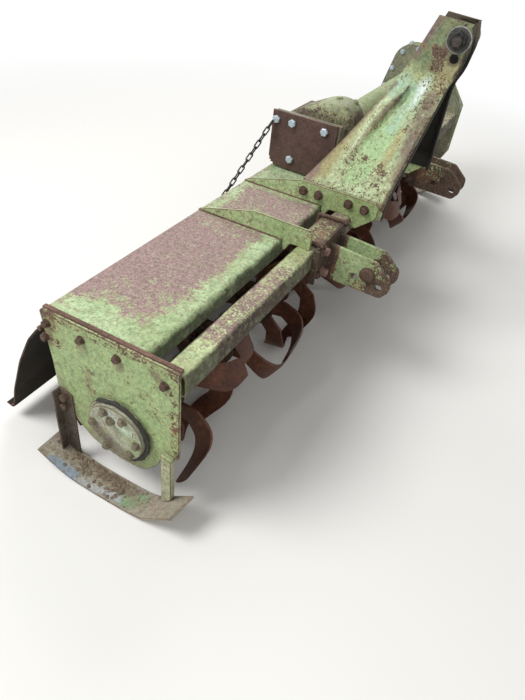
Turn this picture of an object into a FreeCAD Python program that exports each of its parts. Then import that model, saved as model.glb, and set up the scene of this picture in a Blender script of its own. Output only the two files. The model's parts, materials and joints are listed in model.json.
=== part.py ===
import FreeCAD, Part
import math
import os

# Rotary tiller carried on a three-point hitch. All lengths in millimetres.
# X runs across the machine: the bearing end is at -X and the chain drive at +X.
# Y = 0 is the front edge of the end plates and +Y is to the rear. Z = 0 is the floor.

# Driving dimensions
HALF_WIDTH = 1140.0        # machine centre to the outer face of the right end plate
PLATE_T = 8.0              # end plates and ribs
SHEET_T = 4.0              # deck and tailgate sheet
DECK_TOP = 462.0
DECK_FRONT = 90.0
DECK_REAR = 366.0
SHAFT_Y = 165.0            # rotor axis
SHAFT_Z = 206.0
BAR_SIZE = 60.0            # square toolbar
BAR_Y = 18.0
BAR_Z = 428.0
DRIVE_Y = 240.0            # cross shaft axis
DRIVE_Z = 552.0
HITCH_X = 410.0            # middle of each lower hitch point
HITCH_Y = -147.0
HITCH_Z = 401.0
TOP_PIN_Y = -132.0
TOP_PIN_Z = 933.0
MAST_TOP_X = 50.0          # outer face of the mast head
HINGE_Y = 384.0            # tailgate hinge axis
HINGE_Z = 396.0

# Values worked out from them
RIGHT_OUT = -HALF_WIDTH
RIGHT_IN = RIGHT_OUT + PLATE_T
CASE_IN = HALF_WIDTH - 84.0          # inner face of the left end plate
CASE_BACK = CASE_IN + PLATE_T        # the chain case starts here
CASE_LID = HALF_WIDTH - 6.0
BAR_TOP = BAR_Z + BAR_SIZE / 2
BAR_FRONT = BAR_Y - BAR_SIZE / 2
BAR_BACK = BAR_Y + BAR_SIZE / 2


def vec(x, y, z):
    return FreeCAD.Vector(x, y, z)


def box(x0, x1, y0, y1, z0, z1):
    return Part.makeBox(x1 - x0, y1 - y0, z1 - z0, vec(x0, y0, z0))


def rod(axis, start, end, at, radius):
    """A cylinder along axis x, y or z from start to end; at gives the two other coordinates in order."""
    direction = {"x": vec(1, 0, 0), "y": vec(0, 1, 0), "z": vec(0, 0, 1)}[axis]
    base = {"x": vec(start, *at), "y": vec(at[0], start, at[1]), "z": vec(*at, start)}[axis]
    return Part.makeCylinder(radius, end - start, base, direction)


def join(shapes):
    whole = shapes[0]
    if len(shapes) > 1:
        whole = whole.fuse(shapes[1:])
    return whole.removeSplitter()


def corner_arc(before, corner, after, radius):
    """Start, middle and end of the arc that rounds a corner; the radius shrinks where the sides are short."""
    ax, ay = before[0] - corner[0], before[1] - corner[1]
    bx, by = after[0] - corner[0], after[1] - corner[1]
    la, lb = math.hypot(ax, ay), math.hypot(bx, by)
    ax, ay, bx, by = ax / la, ay / la, bx / lb, by / lb
    half = math.acos(max(-1.0, min(1.0, ax * bx + ay * by))) / 2
    run = min(radius / math.tan(half), 0.49 * min(la, lb))
    radius = run * math.tan(half)
    mx, my = ax + bx, ay + by
    lm = math.hypot(mx, my)
    reach = radius / math.sin(half) - radius
    start = (corner[0] + ax * run, corner[1] + ay * run)
    end = (corner[0] + bx * run, corner[1] + by * run)
    middle = (corner[0] + mx / lm * reach, corner[1] + my / lm * reach)
    return start, middle, end


def place(plane, a, b, level):
    """A 2-D point (a, b) of plane yz, xz or xy, set at a level on the third axis."""
    return {"yz": vec(level, a, b), "xz": vec(a, level, b), "xy": vec(a, b, level)}[plane]


def outline_wire(plane, points, level):
    """A closed wire through points (a, b, corner radius); a radius below 0 cuts the corner off straight."""
    edges = []
    last = None
    first = None
    count = len(points)
    for i in range(count):
        before, corner, after = points[i - 1], points[i], points[(i + 1) % count]
        if corner[2] != 0:
            start, middle, end = corner_arc(before, corner, after, abs(corner[2]))
        else:
            start = middle = end = (corner[0], corner[1])
        if last is not None and math.dist(last, start) > 1e-6:
            edges.append(Part.makeLine(place(plane, *last, level), place(plane, *start, level)))
        if corner[2] > 0:
            on_arc = [place(plane, *point, level) for point in (start, middle, end)]
            edges.append(Part.Arc(*on_arc).toShape())
        elif corner[2] < 0:
            edges.append(Part.makeLine(place(plane, *start, level), place(plane, *end, level)))
        if first is None:
            first = start
        last = end
    if math.dist(last, first) > 1e-6:
        edges.append(Part.makeLine(place(plane, *last, level), place(plane, *first, level)))
    return Part.Wire(edges)


def prism(plane, points, low, high):
    """The outline swept from low to high along the third axis."""
    wire = outline_wire(plane, points, low)
    return Part.Face(wire).extrude(place(plane, 0, 0, high - low))


def strip(points, thickness):
    """Outline of a bent sheet: points (a, b, bend radius) are its middle line."""
    left, right = [], []
    count = len(points)
    for i, (a, b, radius) in enumerate(points):
        normals = []
        for j, k in ((i - 1, i), (i, i + 1)):
            if j >= 0 and k < count:
                da, db = points[k][0] - points[j][0], points[k][1] - points[j][1]
                length = math.hypot(da, db)
                normals.append((-db / length, da / length))
        na = sum(n[0] for n in normals) / len(normals)
        nb = sum(n[1] for n in normals) / len(normals)
        scale = thickness / 2 / (na * na + nb * nb)
        bend = 0.0
        if len(normals) == 2:
            bend = normals[0][0] * normals[1][1] - normals[0][1] * normals[1][0]
        side = thickness / 2 if bend < 0 else -thickness / 2
        outer_r = max(0.0, radius + side) if radius > 0 else radius
        inner_r = max(0.0, radius - side) if radius > 0 else radius
        left.append((a + na * scale, b + nb * scale, outer_r))
        right.append((a - na * scale, b - nb * scale, inner_r))
    return left + right[::-1]


def mirrored(shape):
    return shape.mirror(vec(0, 0, 0), vec(1, 0, 0))


def ring_points(count, radius, at=(0.0, 0.0)):
    turns = [math.tau * i / count for i in range(count)]
    return tuple((at[0] + radius * math.cos(turn), at[1] + radius * math.sin(turn), 0) for turn in turns)


def held_hole(radius, at, low, high, sides=12):
    """A many-sided hole along X whose flats just clear a pin or tube that stays in it."""
    corner_r = (radius + 0.02) / math.cos(math.pi / sides)
    return prism("yz", ring_points(sides, corner_r, at), low, high)


def flat_sided(low_end, high_end):
    """A solid between two four-cornered ends; each side is two flat triangles."""
    faces = [Part.Face(Part.makePolygon(end + end[:1])) for end in (low_end, high_end)]
    for i in range(4):
        a, b, c, d = low_end[i], low_end[(i + 1) % 4], high_end[(i + 1) % 4], high_end[i]
        faces += [Part.Face(Part.makePolygon([a, b, c, a])), Part.Face(Part.makePolygon([a, c, d, a]))]
    solid = Part.makeSolid(Part.makeShell(faces))
    if solid.Volume < 0:
        solid.reverse()
    return solid


# Hood: deck, end plates, toolbar and ribs

FLANGE_DROP = 34.0         # turned-down ends of the deck
RIGHT_PLATE = (            # y, z, corner radius
    (0.0, DECK_TOP + 2, 0), (DECK_REAR + 3, DECK_TOP + 2, -6), (354, 320, 60), (350, 240, 40), (303, 150, 60),
    (255, 105, 70), (165, 86, 90), (100, 94, 40), (62, 140, 30), (42, 185, -10), (0, 196, -8),
)


def deck():
    profile = strip(
        (
            (DECK_FRONT, DECK_TOP - 44, 0), (DECK_FRONT, DECK_TOP - SHEET_T / 2, 14),
            (DECK_REAR - SHEET_T / 2, DECK_TOP - SHEET_T / 2, -6), (DECK_REAR - SHEET_T / 2, 405, 0),
        ),
        SHEET_T,
    )
    sheet = prism("yz", profile, RIGHT_IN, CASE_IN)
    inner_front, inner_rear = DECK_FRONT + SHEET_T / 2, DECK_REAR - SHEET_T
    under = DECK_TOP - SHEET_T
    flanges = [
        box(x, x + SHEET_T, inner_front, inner_rear, under - FLANGE_DROP, under)
        for x in (RIGHT_IN, CASE_IN - SHEET_T)
    ]
    return join([sheet] + flanges)


def right_end_plate():
    plate = prism("yz", RIGHT_PLATE, RIGHT_OUT, RIGHT_IN)
    return plate.cut(held_hole(JOURNAL_R + 2, (SHAFT_Y, SHAFT_Z), RIGHT_OUT, RIGHT_IN))


CASE = (                   # y, z, corner radius, and how the point moves in y and z for each mm of inset
    (-12, 262, 0, 1, 0.4), (-14, 478, 0, 1, 0), (58, 566, 0, 0.9, -0.4), (128, 692, 80, 0.6, -1),
    (330, 692, 80, -0.8, -1), (384, 474, 90, -1, 0), (356, 250, 60, -1, 0), (292, 94, 95, -0.6, 1),
    (70, 94, 78, 0.6, 1),
)


def case_outline(inset):
    """Side outline of the chain case: round about both shafts, the corners drawn in by inset."""
    return tuple((y + dy * inset, z + dz * inset, max(r - inset, 0) if r else 0) for y, z, r, dy, dz in CASE)


def left_end_plate():
    plate = prism("yz", case_outline(0), CASE_IN, CASE_BACK)
    return plate.cut(held_hole(LEFT_HUB_R, (SHAFT_Y, SHAFT_Z), CASE_IN, CASE_BACK))


def chain_case_shell():
    outer = prism("yz", case_outline(10), CASE_BACK, CASE_LID)
    inner = prism("yz", case_outline(15), CASE_BACK, CASE_LID)
    return outer.cut(inner)


def chain_case_cover():
    return prism("yz", case_outline(0), CASE_LID, HALF_WIDTH)


def toolbar():
    wall = 5.0
    low_y, low_z = BAR_FRONT, BAR_Z - BAR_SIZE / 2

    def square(inset, radius):
        a, b = low_y + inset, low_z + inset
        c, d = a + BAR_SIZE - 2 * inset, b + BAR_SIZE - 2 * inset
        return ((a, b, radius), (c, b, radius), (c, d, radius), (a, d, radius))

    outer = prism("yz", square(0, 13), RIGHT_IN, CASE_IN)
    return outer.cut(prism("yz", square(wall, -6), RIGHT_IN, CASE_IN))


OUTER_RIB_X = -535.0
INNER_RIB_X = -272.0
RIB_FOOT = (               # the edge over the bar and down behind it to the deck: y, z, corner radius
    (BAR_BACK + 16, BAR_TOP, -8), (BAR_BACK + 30, DECK_TOP - 30, 0), (DECK_FRONT - 2, DECK_TOP - 30, 0),
    (DECK_FRONT - 2, DECK_TOP, 0), (DECK_REAR, DECK_TOP, 0),
)
OUTER_RIB = ((348, 471, 0), (180, 516, 120), (4, 514, -8), (4, BAR_TOP, 0))
INNER_RIB = (
    (348, 473, 0), (168, 521, 60), (-88, 521, -10), (-86, 474, -14), (-30, BAR_Z - 2, 0),
    (BAR_FRONT, BAR_Z - 2, 0), (BAR_FRONT, BAR_TOP, 12.9),
)


def outer_rib():
    """Upright web on the deck that reaches over the toolbar."""
    return prism("yz", OUTER_RIB + RIB_FOOT, OUTER_RIB_X, OUTER_RIB_X + PLATE_T)


def inner_rib():
    """Upright web that also hooks down in front of the toolbar; the mast plate is bolted to it."""
    return prism("yz", INNER_RIB + RIB_FOOT, INNER_RIB_X, INNER_RIB_X + PLATE_T)


# Mast and hitch points

TOP_PIN_R = 12.7
MAST_T = 7.0
FOOT_BEND_Z = 517.0
HEAD_BEND_Z = 806.0
MAST_FOOT_X = INNER_RIB_X + PLATE_T + MAST_T / 2      # middle of the sheet
MAST_HEAD_X = -MAST_TOP_X + MAST_T / 2
MAST_SIDE = (              # y, z of the mast plate seen from the side, corner radius
    (-100, 470, 0), (168, 470, 0), (168, 521, 0), (100, 629, 0), (28, 762, 0), (12, 800, 0), (-18, 866, 60),
    (-62, 980, 0), (-161, 973, -12), (-167, 916, 0), (-156, 850, 20), (-139, 806, 0), (-128, 725, 0),
    (-107, 560, 0),
)
MAST_FLANGE = (            # band along the front edge that is folded inwards: y, z
    (-100, 476, 0), (-107, 560, 0), (-128, 725, 0), (-139, 806, 0), (-132, 806, 0), (-121, 725, 0),
    (-100, 560, 0), (-93, 476, 0),
)
FLANGE_DEPTH = 26.0
POCKET = (                 # pressed hollow: length up the leaning web, rear y, front y, depth
    (60.0, 46.0, -24.0, 1.0), (322.0, -30.0, -56.0, 20.0),
)
POCKET_WALL = 18.0         # how far the hollow's walls slope outwards


def pocket(grow):
    """The pressed hollow in the leaning web, its floor and sides moved outwards by grow."""
    run = vec(MAST_HEAD_X - MAST_FOOT_X, 0, HEAD_BEND_Z - FOOT_BEND_Z).normalize()
    out = vec(-run.z, 0, run.x)
    start = vec(MAST_FOOT_X, 0, FOOT_BEND_Z) + out * (MAST_T / 2)
    ends = []
    for (along, rear, front, depth), end in zip(POCKET, (-grow, grow)):
        base = start + run * (along + end)
        floor = out * (-depth - grow)
        slope = min(POCKET_WALL, depth * 1.5)
        edge = out * (-0.6 * grow if grow else 1.0) + run * (slope if depth > 1.0 else 0.0)
        ends.append(
            [
                base + edge + vec(0, rear + slope + grow, 0), base + floor + vec(0, rear + grow, 0),
                base + floor + vec(0, front - grow, 0), base + edge + vec(0, front - slope - grow, 0),
            ]
        )
    return flat_sided(*ends)


def mast_plate():
    """The right mast plate: upright foot, leaning web with its hollow, upright head."""
    profile = strip(
        (
            (MAST_FOOT_X, 470, 0), (MAST_FOOT_X, FOOT_BEND_Z, 0), (MAST_HEAD_X, HEAD_BEND_Z, 30),
            (MAST_HEAD_X, 980, 0),
        ),
        MAST_T,
    )
    sheet = prism("xz", profile, -200, 200).common(prism("yz", MAST_SIDE, -300, 0))
    low, high = MAST_FOOT_X - MAST_T / 2, MAST_HEAD_X - MAST_T / 2
    fold = prism(
        "xz",
        (
            (low, 476, 0), (low, FOOT_BEND_Z, 0), (high, HEAD_BEND_Z, 0),
            (high + FLANGE_DEPTH, HEAD_BEND_Z, 0), (low + FLANGE_DEPTH, FOOT_BEND_Z, 0),
            (low + FLANGE_DEPTH, 476, 0),
        ),
        -200, 0,
    ).common(prism("yz", MAST_FLANGE, -300, 0))
    plate = join([sheet, fold, pocket(MAST_T)]).cut(pocket(0))
    spare_hole = rod("x", -100, 0, (TOP_PIN_Y, TOP_PIN_Z - 47), 13)
    pin_hole = held_hole(TOP_PIN_R, (TOP_PIN_Y, TOP_PIN_Z), -100, 0)
    return plate.cut(spare_hole).cut(pin_hole)


def top_link_pin():
    return rod("x", -MAST_TOP_X - 32, MAST_TOP_X + 32, (TOP_PIN_Y, TOP_PIN_Z), TOP_PIN_R)


EAR_T = 12.0
EAR_GAP = 60.0
BRACKET_X0 = -546.0        # outer and inner ends of the right bracket's clamp plate
BRACKET_X1 = -334.0
BRACKET_T = 8.0
BRACKET_LOW = 366.0
BRACKET_HIGH = 470.0
CHEEK_REACH = 36.0         # the clamp plate's outer end is turned forwards this far
SADDLE_T = 10.0
LINK_PIN_R = 14.0
SPARE_Y = -110.0           # round spare hole, nearer to the toolbar
SPARE_Z = 379.0
SPARE_R = 12.0
EAR = (                    # y, z, corner radius
    (BAR_FRONT - BRACKET_T, 453, 0), (-164, 443, -14), (-216, 399, -12), (-217, 366, -14), (-196, 340, -10),
    (BAR_FRONT - BRACKET_T, 344, 0),
)
SLOT_HOLE = ((-198, 366, 0), (-190, 360, 0), (-178, 362, 0), (-174, 372, 0), (-182, 380, 0), (-194, 378, 0))


def hitch_bracket():
    """Right lower hitch point: a clamp plate on the toolbar's front face with its cheek and two ears."""
    plate = box(BRACKET_X0, BRACKET_X1, BAR_FRONT - BRACKET_T, BAR_FRONT, BRACKET_LOW, BRACKET_HIGH)
    ears = [
        prism("yz", EAR, x, x + EAR_T)
        for x in (-HITCH_X - EAR_GAP / 2 - EAR_T, -HITCH_X + EAR_GAP / 2)
    ]
    cheek = box(
        BRACKET_X0, BRACKET_X0 + BRACKET_T, BAR_FRONT - CHEEK_REACH, BAR_FRONT, BRACKET_LOW, BRACKET_HIGH,
    )
    body = join([plate, cheek] + ears)
    low, high = -HITCH_X - 60, -HITCH_X + 60
    body = body.cut(rod("x", low, high, (SPARE_Y, SPARE_Z), SPARE_R))
    body = body.cut(held_hole(LINK_PIN_R, (HITCH_Y, HITCH_Z), low, high))
    return body.cut(prism("yz", SLOT_HOLE, low, high))


def hitch_brackets():
    right = hitch_bracket()
    return Part.makeCompound([right, mirrored(right)])


def hitch_pins():
    x0 = -HITCH_X - EAR_GAP / 2 - EAR_T
    x1 = -HITCH_X + EAR_GAP / 2 + EAR_T
    right = rod("x", x0 - 14, x1 + 18, (HITCH_Y, HITCH_Z), LINK_PIN_R)
    return Part.makeCompound([right, mirrored(right)])


def toolbar_clamp():
    """Saddle over the toolbar and down behind it, with a foot under the bar, for the right bracket."""
    over = BAR_TOP + SADDLE_T / 2
    behind = BAR_BACK + SADDLE_T / 2
    under = BAR_Z - BAR_SIZE / 2 - SADDLE_T / 2
    bent = strip(
        ((BAR_FRONT, over, 0), (behind, over, -7), (behind, under, -7), (BAR_FRONT, under, 0)),
        SADDLE_T,
    )
    return prism("yz", bent, -505, -320)


# Drive

BOX_X = 100.0
BOX_FRONT = 128.0
BOX_BACK = 330.0
COVER_T = 12.0
NOSE_FRONT = 96.0
NOSE_R = 62.0
STUB_FRONT = 30.0          # free end of the input shaft
STUB_BACK = 78.0
SHAFT_END = 153.0
STUB_R = 17.5
SHOULDER_R = 22.0
CROSS_TUBE_R = 47.0
JOURNAL_FIT = 0.05         # clearance of a turning fit


CASTING = (                # the domed casting seen from the side: y, z, corner radius
    (108, 590, 0), (118, 660, 0), (150, 694, 0), (208, 696, 0), (273, 662, 0), (336, 632, 0), (336, 590, 0),
)


def gearbox_housing():
    """Plain block for the closed gearbox, with its domed top, on a foot that stands on the deck."""
    foot = box(-BOX_X, BOX_X, 140, 356, DECK_TOP, DECK_TOP + 12)
    body = box(-BOX_X, BOX_X, BOX_FRONT, BOX_BACK, DECK_TOP + 12, 640)
    flange = box(-BOX_X, -BOX_X + 16, BOX_FRONT, 362, DECK_TOP + 12, 646)
    dome = prism("yz", CASTING, -62, 62)
    nose = rod("y", NOSE_FRONT, BOX_FRONT, (0, DRIVE_Z), NOSE_R)
    bore = rod("y", NOSE_FRONT, SHAFT_END, (0, DRIVE_Z), SHOULDER_R + JOURNAL_FIT)
    return join([foot, body, flange, dome, nose]).cut(bore)


def gearbox_side_cover():
    return box(-BOX_X - COVER_T, -BOX_X, 140, 366, 466, 648)


def input_shaft():
    """The stub that takes a drive shaft's yoke, with the thicker length that turns in the gearbox's nose."""
    stub = rod("y", STUB_FRONT, STUB_BACK, (0, DRIVE_Z), STUB_R)
    return join([stub, rod("y", STUB_BACK, SHAFT_END, (0, DRIVE_Z), SHOULDER_R)])


def cross_shaft_tube():
    return rod("x", BOX_X, CASE_IN, (DRIVE_Y, DRIVE_Z), CROSS_TUBE_R)


# Rotor

JOURNAL_R = 20.0
HUB_R = 88.0
HUB_T = 8.0
CAP_R = 79.0
CAP_OUT = 20.0             # the cap stands this far out from the end plate
LEFT_HUB_R = 30.0
LEFT_HUB_IN = 14.0
TUBE_R = 38.0
TUBE_BORE = 30.0
PLUG_FIT = 0.1             # clearance of the journals' plugs in the tube
PLUG_LONG = 30.0
TUBE_X0 = -1104.0
TUBE_X1 = 1028.0
FLANGE_R = 74.0            # corners of the six-sided flanges
FLANGE_T = 10.0
FLANGE_COUNT = 9
TINES_PER_FLANGE = 6
START_TURN = 35.0          # degrees that the first flange is turned
TURN_PER_FLANGE = 50.0     # degrees from one flange to the next
FIRST_FLANGE = -1000.0
LAST_FLANGE = 915.0
TINE_T = 8.0
TINE_FOLD = (              # how far the tine reaches along X, height along the fold's slope
    (TINE_T / 2, 0, 0), (TINE_T / 2, 126, 0), (20, 162, 0), (52, 184, 0), (116, 193, 0),
)
FOLD_TILT = 36.0           # degrees between the fold lines and the Y direction
TINE_SIDE = (              # the tine seen from its side; its tip leads towards -Y
    (22, 44, 0), (22, 122, 0), (-40, 192, 0), (-84, 180, 0), (-128, 150, 0), (-68, 142, 0),
    (-28, 104, 0), (-22, 44, 0),
)


def bearing_hubs():
    """Right: the big round housing outside the end plate. Left: a plain ring inside the drive side."""
    at = (SHAFT_Y, SHAFT_Z)
    housing = rod("x", RIGHT_OUT - HUB_T, RIGHT_OUT, at, HUB_R)
    cap = rod("x", RIGHT_OUT - CAP_OUT, RIGHT_OUT - HUB_T, at, CAP_R)
    bore = JOURNAL_R + JOURNAL_FIT
    right = join([housing, cap]).cut(rod("x", RIGHT_OUT - 12, RIGHT_OUT, at, bore))
    left = rod("x", CASE_IN - LEFT_HUB_IN, CASE_BACK, at, LEFT_HUB_R)
    left = left.cut(rod("x", CASE_IN - LEFT_HUB_IN, CASE_BACK, at, bore))
    return Part.makeCompound([right, left])


def rotor_tube():
    at = (SHAFT_Y, SHAFT_Z)
    return rod("x", TUBE_X0, TUBE_X1, at, TUBE_R).cut(rod("x", TUBE_X0, TUBE_X1, at, TUBE_BORE))


def rotor_journals():
    at = (SHAFT_Y, SHAFT_Z)
    plug = ring_points(12, TUBE_BORE - PLUG_FIT, at)
    right = join(
        [rod("x", RIGHT_OUT - 9, TUBE_X0, at, JOURNAL_R), prism("yz", plug, TUBE_X0, TUBE_X0 + PLUG_LONG)]
    )
    left = join(
        [rod("x", TUBE_X1, CASE_BACK + 30, at, JOURNAL_R), prism("yz", plug, TUBE_X1 - PLUG_LONG, TUBE_X1)]
    )
    return Part.makeCompound([right, left])


def flange():
    """A six-sided flange about the origin, bored for the tube."""
    plate = prism("yz", ring_points(6, FLANGE_R), 0, FLANGE_T)
    return plate.cut(held_hole(TUBE_R, (0, 0), 0, FLANGE_T, 8))


def tine():
    """One bent tine about the origin: its shank lies on x = 0 and its blade reaches towards +X."""
    blank = prism("xz", strip(TINE_FOLD, TINE_T), -160, 160)
    blank.rotate(vec(0, 0, 0), vec(1, 0, 0), FOLD_TILT)
    return blank.common(prism("yz", TINE_SIDE, -10, 140))


def rotor_tine_sets():
    """Each flange with its tines, which point to the two sides in turn."""
    blade = tine()
    left_blade = blade.mirror(vec(0, 0, 0), vec(1, 0, 0))
    step = (LAST_FLANGE - FIRST_FLANGE) / (FLANGE_COUNT - 1)
    pieces = []
    for i in range(FLANGE_COUNT):
        parts = [flange()]
        for k in range(TINES_PER_FLANGE):
            to_right = k % 2 == 0
            piece = (blade if to_right else left_blade).copy()
            piece.rotate(vec(0, 0, 0), vec(1, 0, 0), 360 / TINES_PER_FLANGE * k)
            piece.translate(vec(FLANGE_T if to_right else 0, 0, 0))
            parts.append(piece)
        whole = join(parts)
        whole.rotate(vec(0, 0, 0), vec(1, 0, 0), START_TURN + TURN_PER_FLANGE * i)
        whole.translate(vec(FIRST_FLANGE + i * step, SHAFT_Y, SHAFT_Z))
        pieces.append(whole)
    return Part.makeCompound(pieces)


# Tailgate

GATE_X0 = -1137.0
GATE_X1 = 1120.0
HINGE_ROD_R = 6.0
GATE = (                   # y, z and bend radius of the sheet's middle line
    (HINGE_Y + 11, HINGE_Z - 10, 0), (430, 340, 100), (478, 248, 200), (526, 124, 200), (548, 42, -8),
    (573, 48, 0),
)
LUG_COUNT = 4
LUG_T = 8.0
KNUCKLE_LONG = 60.0
KNUCKLE = (                # y, z from the hinge axis
    (-9, -6, 0), (-9, 6, 0), (-3, 10, 0), (5, 9, 0), (10, 3, 0), (18, -12, 0), (8, -20, 0), (0, -12, 0),
)
LUG = ((-18, 12, 0), (-18, 50, 0), (-10, 50, 0), (6, 9, 0), (8.5, 0, 0), (4, -8, 0), (-6, -9, 0))


def hinge_outline(points):
    """Points given from the hinge axis, set in the machine."""
    return tuple((HINGE_Y + y, HINGE_Z + z, r) for y, z, r in points)


def tailgate_sheet():
    return prism("yz", strip(GATE, SHEET_T), GATE_X0, GATE_X1)


def lug_places():
    """Low x of each hinge lug on the frame, all of them between the end plates."""
    first = GATE_X0 + 40
    last = CASE_IN - KNUCKLE_LONG - 40
    step = (last - first) / (LUG_COUNT - 1)
    return [first + i * step for i in range(LUG_COUNT)]


def tailgate_knuckles():
    knuckles = []
    for x in lug_places():
        low, high = x + LUG_T + 1, x + LUG_T + 1 + KNUCKLE_LONG
        block = prism("yz", hinge_outline(KNUCKLE), low, high)
        block = block.cut(rod("x", low, high, (HINGE_Y, HINGE_Z), HINGE_ROD_R + JOURNAL_FIT))
        knuckles.append(block.cut(tailgate_sheet()))
    return Part.makeCompound(knuckles)


def tailgate_hinge_rod():
    """The rod with its lugs, which stand out from the deck's turned-down rear."""
    at = (HINGE_Y, HINGE_Z)
    pieces = [rod("x", GATE_X0, GATE_X1 - 20, at, HINGE_ROD_R)]
    for x in lug_places():
        lug = prism("yz", hinge_outline(LUG), x, x + LUG_T)
        pieces.append(lug.cut(held_hole(HINGE_ROD_R, at, x, x + LUG_T)))
    return Part.makeCompound(pieces)


CHAIN_TOP = (-124.0, 359.0, 614.0)
CHAIN_END = (-350.0, 505.0, 222.0)
LINK_WIRE = 2.6
LINK_PITCH = 30.0
LINK_WIDTH = 6.5           # middle of the link to the middle of its wire


def chain_link():
    """One link lying along X and flat in XY: a four-sided wire bent round six corners."""
    half = LINK_PITCH / 2 - 1.5
    width = LINK_WIDTH
    tip = half + width
    path = Part.makePolygon(
        [
            vec(0, width, 0), vec(half, width, 0), vec(tip, 0, 0), vec(half, -width, 0),
            vec(-half, -width, 0), vec(-tip, 0, 0), vec(-half, width, 0), vec(0, width, 0),
        ]
    )
    sides = 4
    ring = [
        vec(0, width + LINK_WIRE * math.cos(math.tau * i / sides), LINK_WIRE * math.sin(math.tau * i / sides))
        for i in range(sides + 1)
    ]
    return path.makePipeShell([Part.makePolygon(ring)], True, False, 1)


def tailgate_chain():
    start, end = vec(*CHAIN_TOP), vec(*CHAIN_END)
    run = end - start
    count = int(run.Length // LINK_PITCH)
    along = FreeCAD.Rotation(vec(1, 0, 0), run)
    link = chain_link()
    pieces = []
    for i in range(count):
        piece = link.copy()
        turn = FreeCAD.Rotation(vec(1, 0, 0), 45 + 90 * (i % 2))
        spot = start + run * ((i + 0.5) / count)
        piece.Placement = FreeCAD.Placement(spot, along.multiply(turn))
        pieces.append(piece)
    return Part.makeCompound(pieces)


# Skids

SKID_WIDTH = 72.0
SKID_T = 6.0
SKID = (                   # y, z of the sole's middle line, bend radius
    (383, 52, 0), (330, 24, 90), (262, 3, 120), (70, 3, 90), (24, 40, 60), (-42, 92, 0),
)


def skid():
    return prism("yz", strip(SKID, SKID_T), RIGHT_OUT - SKID_WIDTH, RIGHT_OUT + 4)


FRONT_POST = ((11, 60, 0), (38, 30, 0), (38, 208, 0), (11, 201, 0))
FRONT_POST_T = 17.0
REAR_WEB = ((306, 10, 0), (346, 10, 0), (346, 242, 0), (334, 242, 0), (306, 232, 0))
REAR_POST_T = 5.0
REAR_WING = 27.0           # the angle's wing stands this far out from the end plate


def skid_front_post():
    """Flat bar between the end plate and the skid's upturned nose, cut slanting at its top."""
    return prism("yz", FRONT_POST, RIGHT_OUT - FRONT_POST_T, RIGHT_OUT).cut(skid())


def skid_rear_post():
    """Angle section bolted to the end plate, down to the skid."""
    web = prism("yz", REAR_WEB, RIGHT_OUT - REAR_POST_T, RIGHT_OUT)
    wing = box(RIGHT_OUT - REAR_WING, RIGHT_OUT - REAR_POST_T, 341, 346, 10, 242)
    under = ((200, -40, 0), (262, 6, 0), (330, 27, 0), (420, 74, 0), (420, -40, 0))
    below = prism("yz", under, RIGHT_OUT - 40, RIGHT_OUT + 4)
    return join([web, wing]).cut(below).cut(skid())


# Every node with the function that makes it
PAIRS = {                  # made once for the right-hand side and mirrored
    "outer_rib": outer_rib,
    "inner_rib": inner_rib,
    "mast_plate": mast_plate,
    "toolbar_clamp": toolbar_clamp,
    "skid": skid,
    "skid_front_post": skid_front_post,
    "skid_rear_post": skid_rear_post,
}
SINGLES = {
    "deck": deck,
    "right_end_plate": right_end_plate,
    "left_end_plate": left_end_plate,
    "bearing_hubs": bearing_hubs,
    "chain_case_shell": chain_case_shell,
    "chain_case_cover": chain_case_cover,
    "toolbar": toolbar,
    "top_link_pin": top_link_pin,
    "hitch_brackets": hitch_brackets,
    "hitch_pins": hitch_pins,
    "gearbox_housing": gearbox_housing,
    "gearbox_side_cover": gearbox_side_cover,
    "cross_shaft_tube": cross_shaft_tube,
    "input_shaft": input_shaft,
    "rotor_tube": rotor_tube,
    "rotor_journals": rotor_journals,
    "rotor_tine_sets": rotor_tine_sets,
    "tailgate_sheet": tailgate_sheet,
    "tailgate_knuckles": tailgate_knuckles,
    "tailgate_hinge_rod": tailgate_hinge_rod,
    "tailgate_chain": tailgate_chain,
}

os.makedirs("parts", exist_ok=True)
for name, make in SINGLES.items():
    make().exportStep("parts/" + name + ".step")
for name, make in PAIRS.items():
    right = make()
    right.exportStep("parts/" + name + "_right.step")
    mirrored(right).exportStep("parts/" + name + "_left.step")
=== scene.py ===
import json
import math
import random

import bmesh
import bpy
from mathutils import Matrix, Vector, noise

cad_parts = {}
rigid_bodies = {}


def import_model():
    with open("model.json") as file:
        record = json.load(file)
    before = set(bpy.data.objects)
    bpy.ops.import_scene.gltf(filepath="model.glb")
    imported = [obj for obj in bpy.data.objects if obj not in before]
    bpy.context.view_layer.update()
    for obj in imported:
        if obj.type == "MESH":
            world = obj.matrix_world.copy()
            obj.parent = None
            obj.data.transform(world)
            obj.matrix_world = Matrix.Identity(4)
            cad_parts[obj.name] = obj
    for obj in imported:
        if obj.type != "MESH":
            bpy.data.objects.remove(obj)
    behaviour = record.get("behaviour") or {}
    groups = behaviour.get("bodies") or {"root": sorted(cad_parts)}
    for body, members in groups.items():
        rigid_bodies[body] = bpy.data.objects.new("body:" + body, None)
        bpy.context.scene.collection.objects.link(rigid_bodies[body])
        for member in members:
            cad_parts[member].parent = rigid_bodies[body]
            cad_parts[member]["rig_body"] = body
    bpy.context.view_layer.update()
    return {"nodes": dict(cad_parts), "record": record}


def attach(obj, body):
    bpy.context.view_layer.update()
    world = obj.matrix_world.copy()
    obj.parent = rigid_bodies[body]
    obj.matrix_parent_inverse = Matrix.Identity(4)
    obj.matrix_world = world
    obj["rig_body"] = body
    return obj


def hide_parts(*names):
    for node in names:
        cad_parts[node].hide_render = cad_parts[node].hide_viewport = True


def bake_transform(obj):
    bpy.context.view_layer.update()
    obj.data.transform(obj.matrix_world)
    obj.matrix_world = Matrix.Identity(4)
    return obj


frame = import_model()
NODES = frame["nodes"]
SLOTS = {part["node"]: part["material_slot"] for part in frame["record"]["subparts"]}

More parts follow.
